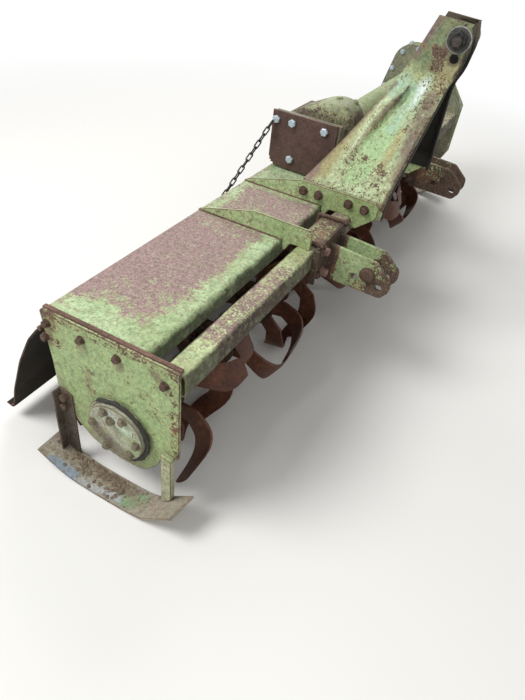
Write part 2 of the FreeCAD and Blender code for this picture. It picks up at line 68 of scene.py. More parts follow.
# Places that the model fixes, in metres
END_X = -1.14              # outer face of the right end plate
SHAFT = Vector((0, 0.165, 0.206))
TOP_PIN = Vector((0, -0.132, 0.933))
LINK_PIN = Vector((-0.452, -0.147, 0.401))     # outer end of the right lower link pin
DRIVE_Z = 0.552
DECK_TOP = 0.462
DECK_REAR = 0.366
CHAIN_TOP = Vector((-0.124, 0.359, 0.614))
CHAIN_END = Vector((-0.35, 0.505, 0.222))

RIGHTWARD = Vector((1, 0, 0))
LEFTWARD = Vector((-1, 0, 0))
FORWARD = Vector((0, -1, 0))
UPWARD = Vector((0, 0, 1))


def srgb(red, green, blue):
    """A colour given as it looks on a screen, 0 to 255, as Blender's linear values."""
    channels = []
    for value in (red, green, blue):
        share = value / 255
        channels.append(share / 12.92 if share <= 0.04045 else ((share + 0.055) / 1.055) ** 2.4)
    return (*channels, 1.0)


# Materials

class Finish:
    """One material's node tree, with short calls for the nodes that it needs."""

    def __init__(self, name):
        self.material = bpy.data.materials.new(name)
        self.material.use_nodes = True
        self.tree = self.material.node_tree
        self.shader = self.tree.nodes["Principled BSDF"]
        self.place = self.node("ShaderNodeTexCoord").outputs["Object"]

    def node(self, kind, inputs=(), **settings):
        made = self.tree.nodes.new(kind)
        for key, value in settings.items():
            setattr(made, key, value)
        for socket, value in inputs:
            self.feed(made.inputs[socket], value)
        return made

    def feed(self, socket, value):
        if isinstance(value, bpy.types.NodeSocket):
            self.tree.links.new(value, socket)
        else:
            socket.default_value = value

    def noise(self, scale, seed, detail, rough, warp=0.0, output="Fac"):
        inputs = {"Vector": self.place, "W": seed, "Scale": scale, "Detail": detail, "Roughness": rough}
        inputs["Distortion"] = warp
        return self.node("ShaderNodeTexNoise", inputs.items(), noise_dimensions="4D").outputs[output]

    def calc(self, operation, a, b=0.0, c=0.0, clamp=False):
        inputs = enumerate((a, b, c))
        return self.node("ShaderNodeMath", inputs, operation=operation, use_clamp=clamp).outputs[0]

    def times(self, a, b):
        return self.calc("MULTIPLY", a, b)

    def line(self, value, gain, start):
        """The start, and the value times the gain on top."""
        return self.calc("MULTIPLY_ADD", value, gain, start)

    def step(self, value, low, high):
        """0 below low, 1 above high and a smooth rise between; low may be above high."""
        inputs = (("Value", value), ("From Min", low), ("From Max", high))
        return self.node("ShaderNodeMapRange", inputs, interpolation_type="SMOOTHSTEP").outputs[0]

    def mix(self, share, a, b):
        """Colour a where the share is 0 and b where it is 1; a plain colour is as on a screen."""
        made = self.node("ShaderNodeMix", [(0, share)], data_type="RGBA")
        for index, colour in ((6, a), (7, b)):
            self.feed(made.inputs[index], srgb(*colour) if isinstance(colour, tuple) else colour)
        return made.outputs[2]

    def tint(self, colour, mask, amount, tone):
        """The tone over the colour, by the amount where the mask is 1."""
        return self.mix(self.times(mask, amount), colour, tone)

    def total(self, terms):
        """The sum of the values, each times its weight."""
        whole = 0.0
        for value, weight in terms:
            whole = self.line(value, weight, whole)
        return whole

    def vector(self, operation, *values):
        made = self.node("ShaderNodeVectorMath", enumerate(values), operation=operation)
        return made.outputs[1] if operation in ("DOT_PRODUCT", "LENGTH") else made.outputs[0]

    def scaled(self, value, factor):
        inputs = ((0, value), ("Scale", factor))
        return self.node("ShaderNodeVectorMath", inputs, operation="SCALE").outputs[0]

    def mottled(self, colour, scale, seed, depth):
        """The colour, made lighter and darker by a fine grain."""
        grain = self.noise(scale, seed, 6.0, 0.85)
        return self.scaled(colour, self.line(grain, depth, 1.0 - depth / 2))

    def fold(self):
        """Makes the left half of the machine look like the mirrored right half."""
        parts = self.node("ShaderNodeSeparateXYZ", [(0, self.place)]).outputs
        places = enumerate((self.calc("ABSOLUTE", parts[0]), parts[1], parts[2]))
        self.place = self.node("ShaderNodeCombineXYZ", places).outputs[0]

    def wobbled(self, reach, scale, seed):
        """The place, shifted about by a noise."""
        shift = self.noise(scale, seed, 8.0, 0.68, output="Color")
        centred = self.vector("SUBTRACT", shift, (0.5, 0.5, 0.5))
        return self.vector("MULTIPLY_ADD", centred, (reach,) * 3, self.place)

    def near(self, place, start, end, inner, outer):
        """1 within inner of the line from start to end, falling to 0 at outer."""
        run = Vector(end) - Vector(start)
        away = self.vector("SUBTRACT", place, start)
        ahead = self.vector("DOT_PRODUCT", away, tuple(run))
        along = self.calc("MULTIPLY", ahead, 1 / run.length_squared, clamp=True)
        away = self.vector("SUBTRACT", away, self.scaled(tuple(run), along))
        return self.step(self.vector("LENGTH", away), outer, inner)

    def zone(self, place, low, high, soft):
        """1 inside a box, falling to 0 over soft outside it; None leaves an end open."""
        parts = self.node("ShaderNodeSeparateXYZ", [(0, place)]).outputs
        share = 1.0
        for value, *ends in zip(parts, low, high):
            for end, side in zip(ends, (-1, 1)):
                if end is not None:
                    share = self.times(share, self.step(value, end + side * soft, end))
        return share

    def marked(self, colour, place, marks, broken=None):
        """The colour with lines on it: tint, start, end, inner and outer reach, share."""
        for tint, start, end, inner, outer, share in marks:
            shown = self.times(self.near(place, start, end, inner, outer), share)
            if broken is not None:
                shown = self.times(shown, self.line(broken, 0.6, 0.4))
            colour = self.mix(shown, colour, tint)
        return colour

    def done(self, colour, rough, metallic, specular, height=None, strength=0.0, distance=0.0):
        looks = {"Base Color": colour, "Roughness": rough, "Metallic": metallic}
        looks["Specular IOR Level"] = specular
        if height is not None:
            relief = (("Height", height), ("Strength", strength), ("Distance", distance))
            looks["Normal"] = self.node("ShaderNodeBump", relief).outputs[0]
        for socket, value in looks.items():
            self.feed(self.shader.inputs[socket], value)
        return self.material


PAINT_LIGHT = (180, 198, 156)
PAINT = (148, 170, 120)
PAINT_DARK = (98, 116, 76)
PAINT_YELLOW = (158, 152, 104)
RUST_MAUVE = (152, 128, 124)
RUST_BROWN = (106, 82, 70)
RUST_RED = (122, 82, 62)
RUST_DARK = (58, 44, 37)
# dark tone for grime and for painted shade on faces that lie in shade
GRIME_AND_SHADE = (50, 43, 34)
SOIL = (132, 120, 100)
# a mint tone used only for painted highlights on the mast's hollow
MINT_HIGHLIGHT = (158, 188, 162)
WHITE = (214, 226, 220)


def rust_colour(finish, seed, pale):
    """Rust that varies from dark brown through red to the pale bloom that dry plate has."""
    broad = finish.noise(8.0, seed, 8.0, 0.7)
    grain = finish.noise(120.0, seed + 3, 6.0, 0.85)
    flecks = finish.noise(300.0, seed + 5, 3.0, 0.7)
    dark = finish.mix(finish.step(grain, 0.4, 0.6), RUST_DARK, RUST_BROWN)
    warm = finish.mix(finish.step(broad, 0.5, 0.66), dark, RUST_RED)
    bloom = finish.total(((broad, 0.22), (grain, 0.5), (flecks, 0.28), (pale, 1.0)))
    colour = finish.mix(finish.step(bloom, 0.96, 1.18), warm, RUST_MAUVE)
    pitted = finish.total(((grain, 0.4), (flecks, 0.6)))
    colour = finish.tint(colour, finish.step(pitted, 0.53, 0.6), 0.55, RUST_DARK)
    colour = finish.tint(colour, finish.step(pitted, 0.46, 0.41), 0.35, PAINT_LIGHT)
    return finish.mottled(colour, 150.0, seed + 7, 2.6)


def worn_paint(
    name, tones, rust, seed, pale, zones=(), marks=(), dirt_and_shade=(), yellow=0.25, soil=0.0, wobble=0.05,
    both=False,
):
    """Old brushed paint with fine chips and specks of rust.

    Zones are boxes with more rust: low corner, high corner, softness, gain. Marks are coloured lines:
    colour, start, end, inner and outer reach, share. Dirt and shade gives boxes that are darkened with grime
    and painted shade.
    """
    finish = Finish(name)
    if both:
        finish.fold()
    light, middle, dark = tones
    broad = finish.noise(3.2, seed, 3.0, 0.5)
    cloud = finish.noise(13.0, seed + 1, 7.0, 0.7)
    chips = finish.noise(48.0, seed + 2, 9.0, 0.8, 0.2)
    dots = finish.noise(175.0, seed + 3, 4.0, 0.65)
    wear = finish.total(((broad, 0.1), (cloud, 0.18), (chips, 0.4), (dots, 0.32)))
    moved = finish.wobbled(wobble, 8.0, seed + 4)
    level = rust
    for low, high, soft, gain in zones:
        level = finish.line(finish.zone(moved, low, high, soft), gain, level)
    wear = finish.calc("ADD", wear, level)
    tone = finish.total(((broad, 0.5), (cloud, 0.35), (chips, 0.15)))
    colour = finish.mix(finish.step(tone, 0.42, 0.58), middle, light)
    aged = finish.step(finish.total(((cloud, 0.6), (broad, -0.4), (0.5, 0.8))), 0.44, 0.6)
    colour = finish.tint(colour, aged, yellow, PAINT_YELLOW)
    brushed = finish.noise(60.0, seed + 6, 4.0, 0.65)
    colour = finish.tint(colour, finish.step(brushed, 0.46, 0.62), 0.45, dark)
    specks = finish.noise(135.0, seed + 8, 3.0, 0.7)
    colour = finish.tint(colour, finish.step(specks, 0.44, 0.34), 0.5, light)
    colour = finish.tint(colour, finish.step(specks, 0.56, 0.66), 0.65, RUST_BROWN)
    broken = finish.step(finish.total(((chips, 0.6), (brushed, 0.4))), 0.3, 0.56)
    colour = finish.marked(colour, finish.wobbled(0.012, 60.0, seed + 7), marks, broken)
    colour = finish.tint(colour, finish.step(wear, 0.535, 0.572), 0.45, PAINT_YELLOW)
    bare = finish.step(wear, 0.572, 0.592)
    colour = finish.mix(bare, colour, rust_colour(finish, seed + 9, pale))
    colour = finish.mottled(colour, 110.0, seed + 12, 2.6)
    # darkens boxes with grime and with painted shade
    for low, high, soft, share in dirt_and_shade:
        cover = finish.times(finish.zone(moved, low, high, soft), share)
        colour = finish.tint(colour, cover, finish.line(broken, 0.35, 0.65), GRIME_AND_SHADE)
    if soil:
        dusty = finish.step(finish.noise(34.0, seed + 20, 7.0, 0.75), 0.42, 0.66)
        colour = finish.tint(colour, dusty, soil, SOIL)
    rough = finish.line(bare, 0.2, finish.line(chips, 0.25, 0.48))
    pits = finish.times(finish.calc("SUBTRACT", dots, 0.5), finish.line(bare, 0.8, 0.15))
    height = finish.calc("SUBTRACT", pits, finish.times(bare, 0.4))
    return finish.done(colour, rough, 0.0, 0.35, height, 0.6, 0.0007)


def bare_steel(
    name, dark, middle, light, seed, scale=1.0, rough=0.75, metallic=0.15, pits=0.0008, marks=(),
):
    """Bare or rusted metal in three tones, from its hollows to its rubbed high spots."""
    finish = Finish(name)
    broad = finish.noise(8.0 * scale, seed, 8.0, 0.68)
    patch = finish.noise(60.0 * scale, seed + 1, 7.0, 0.75)
    grain = finish.noise(330.0 * scale, seed + 2, 4.0, 0.7)
    tone = finish.total(((broad, 0.35), (patch, 0.38), (grain, 0.27)))
    colour = finish.mix(finish.step(tone, 0.42, 0.53), dark, middle)
    colour = finish.mix(finish.step(tone, 0.52, 0.63), colour, light)
    colour = finish.marked(colour, finish.place, marks)
    colour = finish.mottled(colour, 150.0 * scale, seed + 4, 1.8)
    rough = finish.line(finish.calc("SUBTRACT", patch, 0.5), 0.5, rough)
    height = finish.total(((patch, 0.6), (grain, 0.4)))
    return finish.done(colour, rough, metallic, 0.35, height, 0.7, pits)


DECK_ZONES = (             # rust on the deck: low corner, high corner, softness, gain
    ((-1.03, 0.17, 0.43), (-0.56, 0.335, None), 0.05, 0.08),
    ((-0.9, 0.15, 0.43), (-0.64, None, None), 0.05, 0.025),
    ((-1.05, 0.33, 0.43), (-0.6, None, None), 0.025, 0.03),
    ((-0.49, 0.12, 0.43), (-0.31, 0.3, None), 0.05, 0.09),
    ((0.3, 0.12, 0.43), (0.9, 0.32, None), 0.06, 0.08),
    ((-0.22, 0.1, 0.43), (0.2, 0.15, None), 0.04, 0.06),
    ((None, 0.352, 0.4), (None, None, 0.47), 0.01, 0.04),
)
# the deck's front below its top: grime and painted shade under the front edge
DECK_DIRT_AND_SHADE = (((None, None, None), (None, 0.097, 0.448), 0.01, 0.75),)
PLATE_ZONES = (
    ((None, 0.236, 0.275), (None, 0.254, 0.345), 0.012, 0.05),
    ((None, None, None), (None, 0.014, None), 0.014, 0.045),
    ((None, None, 0.45), (None, None, None), 0.01, 0.05),
    ((None, 0.01, 0.12), (None, 0.07, 0.34), 0.03, 0.022),
    ((None, 0.02, 0.395), (None, 0.06, 0.44), 0.02, 0.035),
    ((None, 0.33, 0.37), (None, None, None), 0.02, 0.05),
)
PLATE_MARKS = (            # stains under the bolts and scratches
    (RUST_BROWN, (END_X, 0.246, 0.35), (END_X, 0.247, 0.27), 0.001, 0.014, 0.65),
    (RUST_BROWN, (END_X, 0.35, 0.431), (END_X, 0.361, 0.38), 0.01, 0.026, 0.7),
    (RUST_BROWN, (END_X, 0.254, 0.425), (END_X, 0.254, 0.404), 0.006, 0.02, 0.6),
    (RUST_BROWN, (END_X, 0.157, 0.422), (END_X, 0.156, 0.4), 0.006, 0.018, 0.55),
    (RUST_BROWN, (END_X, 0.035, 0.412), (END_X, 0.062, 0.434), 0.005, 0.018, 0.75),
    (SOIL, (END_X, 0.12, 0.098), (END_X, 0.25, 0.112), 0.01, 0.05, 0.75),
    (SOIL, (END_X, 0.3, 0.16), (END_X, 0.34, 0.26), 0.004, 0.03, 0.4),
)
MAST_ZONES = (             # by the distance from the middle, as both sides are alike
    ((0.03, -0.125, 0.7), (0.13, -0.08, 0.83), 0.03, 0.045),
    ((0.03, -0.105, 0.852), (0.07, -0.076, 0.905), 0.014, 0.075),
    ((0.03, -0.11, 0.905), (0.07, -0.02, 0.99), 0.03, 0.015),
    ((0.24, -0.11, 0.44), (0.28, 0.17, 0.53), 0.01, 0.015),
    ((0.19, -0.09, 0.53), (0.256, 0.06, 0.61), 0.03, 0.02),
)
MAST_MARKS = (
    (PAINT_YELLOW, (0.04, 0.06, 0.76), (0.24, 0.15, 0.56), 0.02, 0.06, 0.85),
    ((132, 112, 88), (0.1, 0.05, 0.72), (0.23, 0.14, 0.56), 0.001, 0.024, 0.7),
    ((154, 186, 134), (0.128, -0.02, 0.7), (0.225, 0.016, 0.57), 0.026, 0.046, 0.9),
    # painted highlight along the hollow's floor near its top
    (MINT_HIGHLIGHT, (0.062, -0.044, 0.79), (0.132, -0.026, 0.7), 0.012, 0.034, 0.85),
    # rust-brown lines on the hollow's rear wall, partly rust and partly painted shade, with a painted shadow
    # in the crease at its top
    ((84, 70, 58), (0.078, -0.016, 0.762), (0.14, 0.022, 0.696), 0.005, 0.02, 0.95),
    ((52, 62, 48), (0.06, -0.034, 0.786), (0.074, -0.022, 0.769), 0.002, 0.01, 0.9),
    ((96, 86, 64), (0.14, 0.024, 0.696), (0.21, 0.058, 0.6), 0.003, 0.016, 0.75),
    (PAINT_YELLOW, (0.105, -0.068, 0.73), (0.21, -0.046, 0.6), 0.006, 0.022, 0.85),
    ((108, 88, 86), (0.066, -0.106, 0.78), (0.16, -0.098, 0.655), 0.01, 0.03, 0.95),
    ((126, 116, 92), (0.16, -0.098, 0.655), (0.215, -0.09, 0.58), 0.004, 0.024, 0.8),
    ((124, 104, 94), (0.16, -0.108, 0.655), (0.256, -0.1, 0.528), 0.004, 0.016, 0.85),
    ((150, 140, 94), (0.11, 0.075, 0.705), (0.235, 0.122, 0.56), 0.01, 0.045, 0.8),
    ((116, 96, 80), (0.085, 0.05, 0.745), (0.18, 0.112, 0.625), 0.002, 0.014, 0.8),
    # painted highlights and painted sky reflection round the top of the hollow
    (MINT_HIGHLIGHT, (0.03, -0.023, 0.827), (0.068, 0.008, 0.777), 0.008, 0.03, 0.9),
    (MINT_HIGHLIGHT, (0.034, -0.084, 0.832), (0.125, -0.06, 0.712), 0.007, 0.022, 0.6),
    (WHITE, (0.026, -0.086, 0.836), (0.088, -0.052, 0.754), 0.007, 0.018, 1.0),
    (WHITE, (0.06, -0.076, 0.79), (0.102, -0.04, 0.734), 0.002, 0.012, 0.85),
    ((150, 138, 104), (0.05, -0.128, 0.872), (0.05, -0.124, 0.838), 0.014, 0.042, 0.85),
    (RUST_DARK, (0.05, -0.132, 0.886), (0.05, -0.132, 0.887), 0.014, 0.026, 0.8),
    (RUST_DARK, (0.22, 0.058, 0.585), (0.254, -0.009, 0.539), 0.0006, 0.0028, 1.0),
    (RUST_DARK, (0.213, 0.048, 0.594), (0.241, -0.016, 0.556), 0.0004, 0.0022, 0.7),
    ((88, 102, 76), (0.05, -0.11, 0.975), (0.05, -0.06, 0.9), 0.036, 0.074, 0.85),
    ((98, 74, 72), (0.05, -0.098, 0.905), (0.05, -0.088, 0.85), 0.006, 0.018, 0.85),
    ((120, 98, 95), (0.046, -0.066, 0.985), (0.05, -0.022, 0.88), 0.009, 0.022, 0.95),
    (RUST_BROWN, (0.06, 0.01, 0.795), (0.268, 0.172, 0.505), 0.003, 0.012, 0.8),
    (RUST_BROWN, (0.264, 0.168, 0.517), (0.264, -0.1, 0.517), 0.003, 0.011, 0.85),
    ((128, 104, 96), (0.262, 0.156, 0.524), (0.24, 0.142, 0.556), 0.008, 0.028, 0.9),
    # dark lines along the front fold: rust and painted shade
    (RUST_DARK, (0.05, -0.166, 0.96), (0.05, -0.158, 0.85), 0.004, 0.013, 1.0),
    (RUST_DARK, (0.052, -0.156, 0.848), (0.115, -0.128, 0.725), 0.008, 0.016, 1.0),
    (RUST_DARK, (0.115, -0.128, 0.725), (0.262, -0.102, 0.51), 0.009, 0.016, 1.0),
)
BAR_ZONES = (
    ((None, None, None), (-1.03, None, None), 0.03, -0.066),
    ((-0.62, None, None), (-0.53, None, None), 0.04, -0.03),
)
# the toolbar's front face and its rear: grime and painted shade
BAR_DIRT_AND_SHADE = (
    ((None, None, None), (None, -0.006, 0.452), 0.006, 0.85),
    ((None, 0.044, None), (None, None, None), 0.006, 0.9),
)
HUB_MARKS = (
    (PAINT, (END_X, 0.135, 0.235), (END_X, 0.11, 0.2), 0.022, 0.036, 0.85),
    (PAINT, (END_X, 0.12, 0.16), (END_X, 0.1, 0.18), 0.02, 0.03, 0.7),
    (WHITE, (END_X, 0.18, 0.262), (END_X, 0.12, 0.232), 0.02, 0.028, 0.45),
    ((84, 70, 56), (END_X, 0.222, 0.19), (END_X, 0.15, 0.14), 0.022, 0.042, 0.85),
)
BRACKET_ZONES = (
    ((-0.6, -0.046, None), (0.6, None, None), 0.012, 0.11),
    ((-0.6, None, None), (0.6, -0.16, None), 0.02, 0.08),
    ((-0.6, None, None), (0.6, -0.105, 0.382), 0.02, 0.07),
    # more rust on the left bracket, which also darkens it as painted shade
    ((0.3, None, None), (0.6, None, None), 0.01, 0.08),
)
SKID_MARKS = (
    ((126, 115, 99), (END_X - 0.014, 0.325, 0.02), (END_X - 0.014, 0.14, 0.006), 0.01, 0.04, 0.8),
    ((180, 190, 200), (END_X - 0.062, 0.25, 0.006), (END_X - 0.052, 0.13, 0.006), 0.002, 0.018, 0.7),
    ((122, 150, 176), (END_X - 0.068, 0.34, 0.034), (END_X - 0.062, 0.28, 0.01), 0.008, 0.022, 1.0),
    ((118, 150, 112), (END_X - 0.046, 0.118, 0.006), (END_X - 0.026, 0.086, 0.006), 0.014, 0.026, 0.9),
    ((170, 156, 150), (END_X - 0.05, 0.05, 0.02), (END_X - 0.01, 0.02, 0.046), 0.008, 0.03, 0.6),
)
# a lighter band along the top of the inner face, where the painted shade eases off
INNER_MARKS = (((92, 84, 70), (0.0, -0.17, 0.985), (0.0, -0.03, 0.985), 0.05, 0.125, 0.85),)

PAINTS = {
    "deck": dict(
        tones=((184, 204, 164), (154, 176, 128), PAINT_DARK), rust=0.024, seed=2.0, pale=0.68,
        zones=DECK_ZONES, dirt_and_shade=DECK_DIRT_AND_SHADE, yellow=0.2, wobble=0.1,
    ),
    "plate": dict(
        tones=((156, 178, 126), (144, 166, 114), (104, 122, 82)), rust=0.008, seed=5.0, pale=0.4,
        zones=PLATE_ZONES, marks=PLATE_MARKS, soil=0.12, wobble=0.02,
    ),
    "paint": dict(tones=((176, 194, 148), (146, 168, 114), PAINT_DARK), rust=0.026, seed=8.0, pale=0.48),
    "shaded": dict(
        tones=((130, 136, 118), (102, 108, 92), (66, 68, 58)), rust=0.038, seed=37.0, pale=0.42, soil=0.25,
    ),
    "tube": dict(tones=((158, 174, 130), (132, 148, 104), PAINT_DARK), rust=0.03, seed=67.0, pale=0.46),
    "mast": dict(
        tones=((202, 218, 180), (168, 188, 144), PAINT_DARK), rust=0.03, seed=11.0, pale=0.48,
        zones=MAST_ZONES, marks=MAST_MARKS, yellow=0.5, wobble=0.03, both=True,
    ),
    "bar": dict(
        tones=((194, 208, 162), (162, 178, 130), (96, 104, 72)), rust=0.086, seed=14.0, pale=0.6,
        zones=BAR_ZONES, dirt_and_shade=BAR_DIRT_AND_SHADE, yellow=0.4, wobble=0.03,
    ),
    "bracket": dict(
        tones=((164, 184, 138), (142, 164, 116), PAINT_DARK), rust=0.022, seed=31.0, pale=0.3,
        zones=BRACKET_ZONES, dirt_and_shade=(((-0.6, -0.038, None), (0.6, None, None), 0.008, 0.7),), wobble=0.03,
    ),
    "saddle": dict(
        tones=((170, 182, 132), (138, 152, 104), (86, 90, 62)), rust=0.106, seed=59.0, pale=0.48,
        zones=(((None, 0.04, None), (None, None, 0.452), 0.006, 0.08),), yellow=0.5,
    ),
    "casting": dict(
        tones=((158, 172, 134), (130, 140, 108), (92, 94, 74)), rust=0.03, seed=17.0, pale=0.5,
        zones=(((None, None, None), (None, None, 0.668), 0.012, 0.06),),
        dirt_and_shade=(((None, None, None), (None, None, 0.655), 0.012, 0.45),), soil=0.3,
    ),
    "hub": dict(
        tones=((186, 192, 174), (158, 164, 146), (112, 114, 100)), rust=0.026, seed=20.0, pale=0.45,
        marks=HUB_MARKS, soil=0.5,
    ),
    "skid": dict(
        tones=((172, 168, 156), (146, 142, 130), (98, 92, 82)), rust=0.058, seed=23.0, pale=0.66,
        zones=(((None, 0.1, None), (None, 0.33, None), 0.04, -0.01),), marks=SKID_MARKS, yellow=0.0,
        soil=0.35,
    ),
    "post": dict(
        tones=((184, 186, 158), (156, 160, 130), PAINT_DARK), rust=0.02, seed=47.0, pale=0.36, soil=0.3,
    ),
}
STEELS = {                 # three tones, seed, scale, roughness, share of metal, depth of the pits, marks
    "worn_edge": ((88, 68, 58), (130, 108, 94), (176, 166, 146), 3.0, 1.0, 0.6, 0.2),
    "rust": (RUST_DARK, RUST_BROWN, (140, 112, 98), 6.0),
    "rust_edge": ((74, 54, 46), (118, 90, 78), (160, 134, 120), 34.0),
    # near black: the rusted inside of the mast plates, darkened with painted shade
    "mast_inner_painted_shade": ((17, 16, 13), (33, 31, 25), (60, 52, 43), 36.0, 1.0, 0.75, 0.15, 0.0008, INNER_MARKS),
    "cover": ((66, 48, 43), (86, 65, 58), (110, 87, 78), 9.0, 0.7, 0.7, 0.1, 0.0004),
    "dark_sheet": ((20, 17, 12), (36, 30, 22), (64, 53, 41), 12.0, 0.8, 0.85, 0.0),
    "dark": ((36, 32, 30), (66, 60, 56), (106, 98, 92), 15.0, 1.5, 0.55, 0.3, 0.0004),
    "grease": ((26, 24, 20), (44, 42, 36), (72, 70, 60), 41.0, 2.0, 0.6, 0.0, 0.0012),
    "soil": ((90, 78, 64), (126, 113, 95), (162, 150, 128), 43.0, 2.0, 0.95, 0.0, 0.0015),
    "straw": ((96, 84, 66), (142, 128, 104), (188, 174, 148), 73.0, 2.0, 0.9, 0.0, 0.0002),
    "washer": ((98, 97, 92), (148, 147, 140), (200, 201, 194), 45.0, 1.0, 0.5, 0.35, 0.0003),
    "washer_face": ((46, 46, 42), (80, 82, 76), (122, 126, 116), 77.0, 1.0, 0.5, 0.3, 0.0003),
    "black": ((22, 21, 20), (44, 41, 39), (86, 80, 76), 71.0, 1.5, 0.5, 0.3, 0.0004),
    "dusty_steel": ((54, 47, 40), (86, 79, 68), (124, 118, 102), 53.0, 1.4, 0.85, 0.1, 0.0006),
    "tine": ((50, 29, 20), (86, 50, 34), (128, 84, 62), 18.0, 0.8, 0.5, 0.25, 0.0005),
    "tine_edge": ((80, 50, 38), (118, 80, 62), (156, 120, 98), 30.0, 1.0, 0.45, 0.35),
    "rotor": ((42, 31, 24), (70, 52, 39), (106, 84, 64), 21.0, 1.0, 0.9, 0.0, 0.0015),
    "zinc": ((146, 158, 166), (184, 196, 204), (222, 232, 238), 24.0, 3.0, 0.45, 0.4, 0.0002),
    "bolt": ((56, 42, 34), (90, 70, 58), (128, 106, 90), 27.0, 3.0, 0.7, 0.2, 0.0003),
    # lighter, redder tones for the bracket nuts: rust with painted highlights
    "highlit_bolt": ((94, 70, 62), (142, 112, 102), (192, 166, 154), 61.0, 3.0, 0.6, 0.2, 0.0003),
    "dusty_bolt": ((84, 74, 60), (126, 118, 98), (160, 154, 132), 49.0, 3.0, 0.8, 0.1, 0.0004),
}
MATERIALS = {key: worn_paint(key + "_finish", **settings) for key, settings in PAINTS.items()}
for key, settings in STEELS.items():
    MATERIALS[key] = bare_steel(key + "_finish", *settings)

# Meshes

def mesh_data(name, mesh):
    """Turns a bmesh into mesh data and frees it."""
    data = bpy.data.meshes.new(name)
    mesh.to_mesh(data)
    mesh.free()
    return data


def outside(direction):
    """Two directions square to the one given and to each other."""
    first = direction.orthogonal().normalized()
    return first, direction.cross(first).normalized()


def circle(middle, u, v, radius, sides, spin=0.0):
    """Points round a circle in the plane of u and v."""
    turns = [spin + math.tau * i / sides for i in range(sides)]
    return [middle + (u * math.cos(turn) + v * math.sin(turn)) * radius for turn in turns]


class Form:
    """A mesh put together from simple turned and swept shapes."""

    def __init__(self):
        self.mesh = bmesh.new()

    def rings(self, rings, cap=True):
        """Skins closed rings of points with the same count."""
        made = [[self.mesh.verts.new(point) for point in ring] for ring in rings]
        count = len(made[0])
        for low, high in zip(made, made[1:]):
            for i in range(count):
                j = (i + 1) % count
                self.mesh.faces.new((low[i], low[j], high[j], high[i]))
        if cap:
            self.mesh.faces.new(made[0][::-1])
            self.mesh.faces.new(made[-1])

    def turned(self, at, axis, profile, sides, spin=0.0):
        """Turns (along, radius) pairs about the axis through at."""
        axis = axis.normalized()
        u, v = outside(axis)
        self.rings([circle(at + axis * along, u, v, radius, sides, spin) for along, radius in profile])

    def bolt(self, at, axis, radius, height, spin=0.0, washer=0.0):
        """A hexagon head with a chamfered top, on a washer if one is asked for."""
        base = 0.0
        if washer:
            base = height * 0.28
            self.turned(at, axis, ((0, washer), (base * 0.7, washer), (base, washer * 0.93)), 20)
        rim = height * 0.16
        profile = (
            (base, radius * 0.94), (base + rim * 0.4, radius), (base + height - rim, radius),
            (base + height, radius * 0.8),
        )
        self.turned(at, axis, profile, 6, spin)

    def bead(self, start, end, radius, rng):
        """A weld bead from start to end with its ripples."""
        run = end - start
        count = max(3, int(run.length / (radius * 0.8)))
        u, v = outside(run.normalized())
        rings = []
        for i in range(count + 1):
            swell = radius * (0.82 + 0.3 * (i % 2) + rng.uniform(-0.1, 0.1))
            if i in (0, count):
                swell *= 0.5
            rings.append(circle(start + run * (i / count), u, v, swell, 8))
        self.rings(rings)

    def rod(self, points, radius, sides=10, closed=False):
        """A round rod that follows points."""
        points = [Vector(point) for point in points]
        count = len(points)
        rings = []
        side = None
        for i, point in enumerate(points):
            before = points[i - 1] if i or closed else point
            after = points[(i + 1) % count] if i < count - 1 or closed else point
            run = (after - before).normalized()
            if side is None:
                side = run.orthogonal().normalized()
            side = (side - run * side.dot(run)).normalized()
            rings.append(circle(point, side, run.cross(side), radius, sides))
        if closed:
            rings.append(rings[0])
        self.rings(rings, not closed)

    def bar(self, low, high):
        """A straight bar with its corners at low and high."""
        (x0, y0, z0), (x1, y1, z1) = low, high
        corners = ((x0, z0), (x1, z0), (x1, z1), (x0, z1))
        self.rings([[Vector((x, y, z)) for x, z in corners] for y in (y0, y1)])

    def piece(self, name, body, slot, materials, bevel=0.0, smooth=40.0, mirror=False):
        """Makes the object and lets it ride on a body."""
        if mirror:
            whole = self.mesh.verts[:] + self.mesh.edges[:] + self.mesh.faces[:]
            copy = bmesh.ops.duplicate(self.mesh, geom=whole)["geom"]
            verts = [part for part in copy if isinstance(part, bmesh.types.BMVert)]
            faces = [part for part in copy if isinstance(part, bmesh.types.BMFace)]
            bmesh.ops.scale(self.mesh, vec=(-1, 1, 1), verts=verts)
            bmesh.ops.reverse_faces(self.mesh, faces=faces)
        bmesh.ops.recalc_face_normals(self.mesh, faces=self.mesh.faces)
        return place_piece(name, mesh_data(name, self.mesh), body, materials, bevel, smooth)


def new_object(name, data, materials, smooth):
    """An object in the scene, smooth but for the edges over an angle."""
    made = bpy.data.objects.new(name, data)
    bpy.context.scene.collection.objects.link(made)
    for material in materials:
        data.materials.append(MATERIALS[material])
    mesh = bmesh.new()
    mesh.from_mesh(data)
    for face in mesh.faces:
        face.smooth = True
    for edge in mesh.edges:
        edge.smooth = len(edge.link_faces) == 2 and edge.calc_face_angle(0) < math.radians(smooth)
    mesh.to_mesh(data)
    mesh.free()
    return made


def place_piece(name, data, body, materials, bevel, smooth):
    piece = new_object(name, data, materials, smooth)
    if bevel:
        worn = piece.modifiers.new("worn edges", "BEVEL")
        worn.width = bevel
        worn.segments = 2
        worn.limit_method = "ANGLE"
        worn.angle_limit = math.radians(28)
        worn.material = min(1, len(materials) - 1)
        worn.harden_normals = True
    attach(piece, body)
    return piece


def dressed(node, material, bevel, edge="rust_edge"):
    """A copy of a CAD node with rounded, worn edges, in place of the node."""
    source = NODES[node]
    mesh = bmesh.new()
    mesh.from_mesh(source.data)
    bmesh.ops.remove_doubles(mesh, verts=mesh.verts, dist=1e-6)
    bmesh.ops.dissolve_limit(mesh, angle_limit=math.radians(0.5), verts=mesh.verts, edges=mesh.edges)
    name = node + "_worn"
    data = mesh_data(name, mesh)
    piece = place_piece(name, data, source["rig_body"], (material, edge), bevel, 32.0)
    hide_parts(node)
    return piece


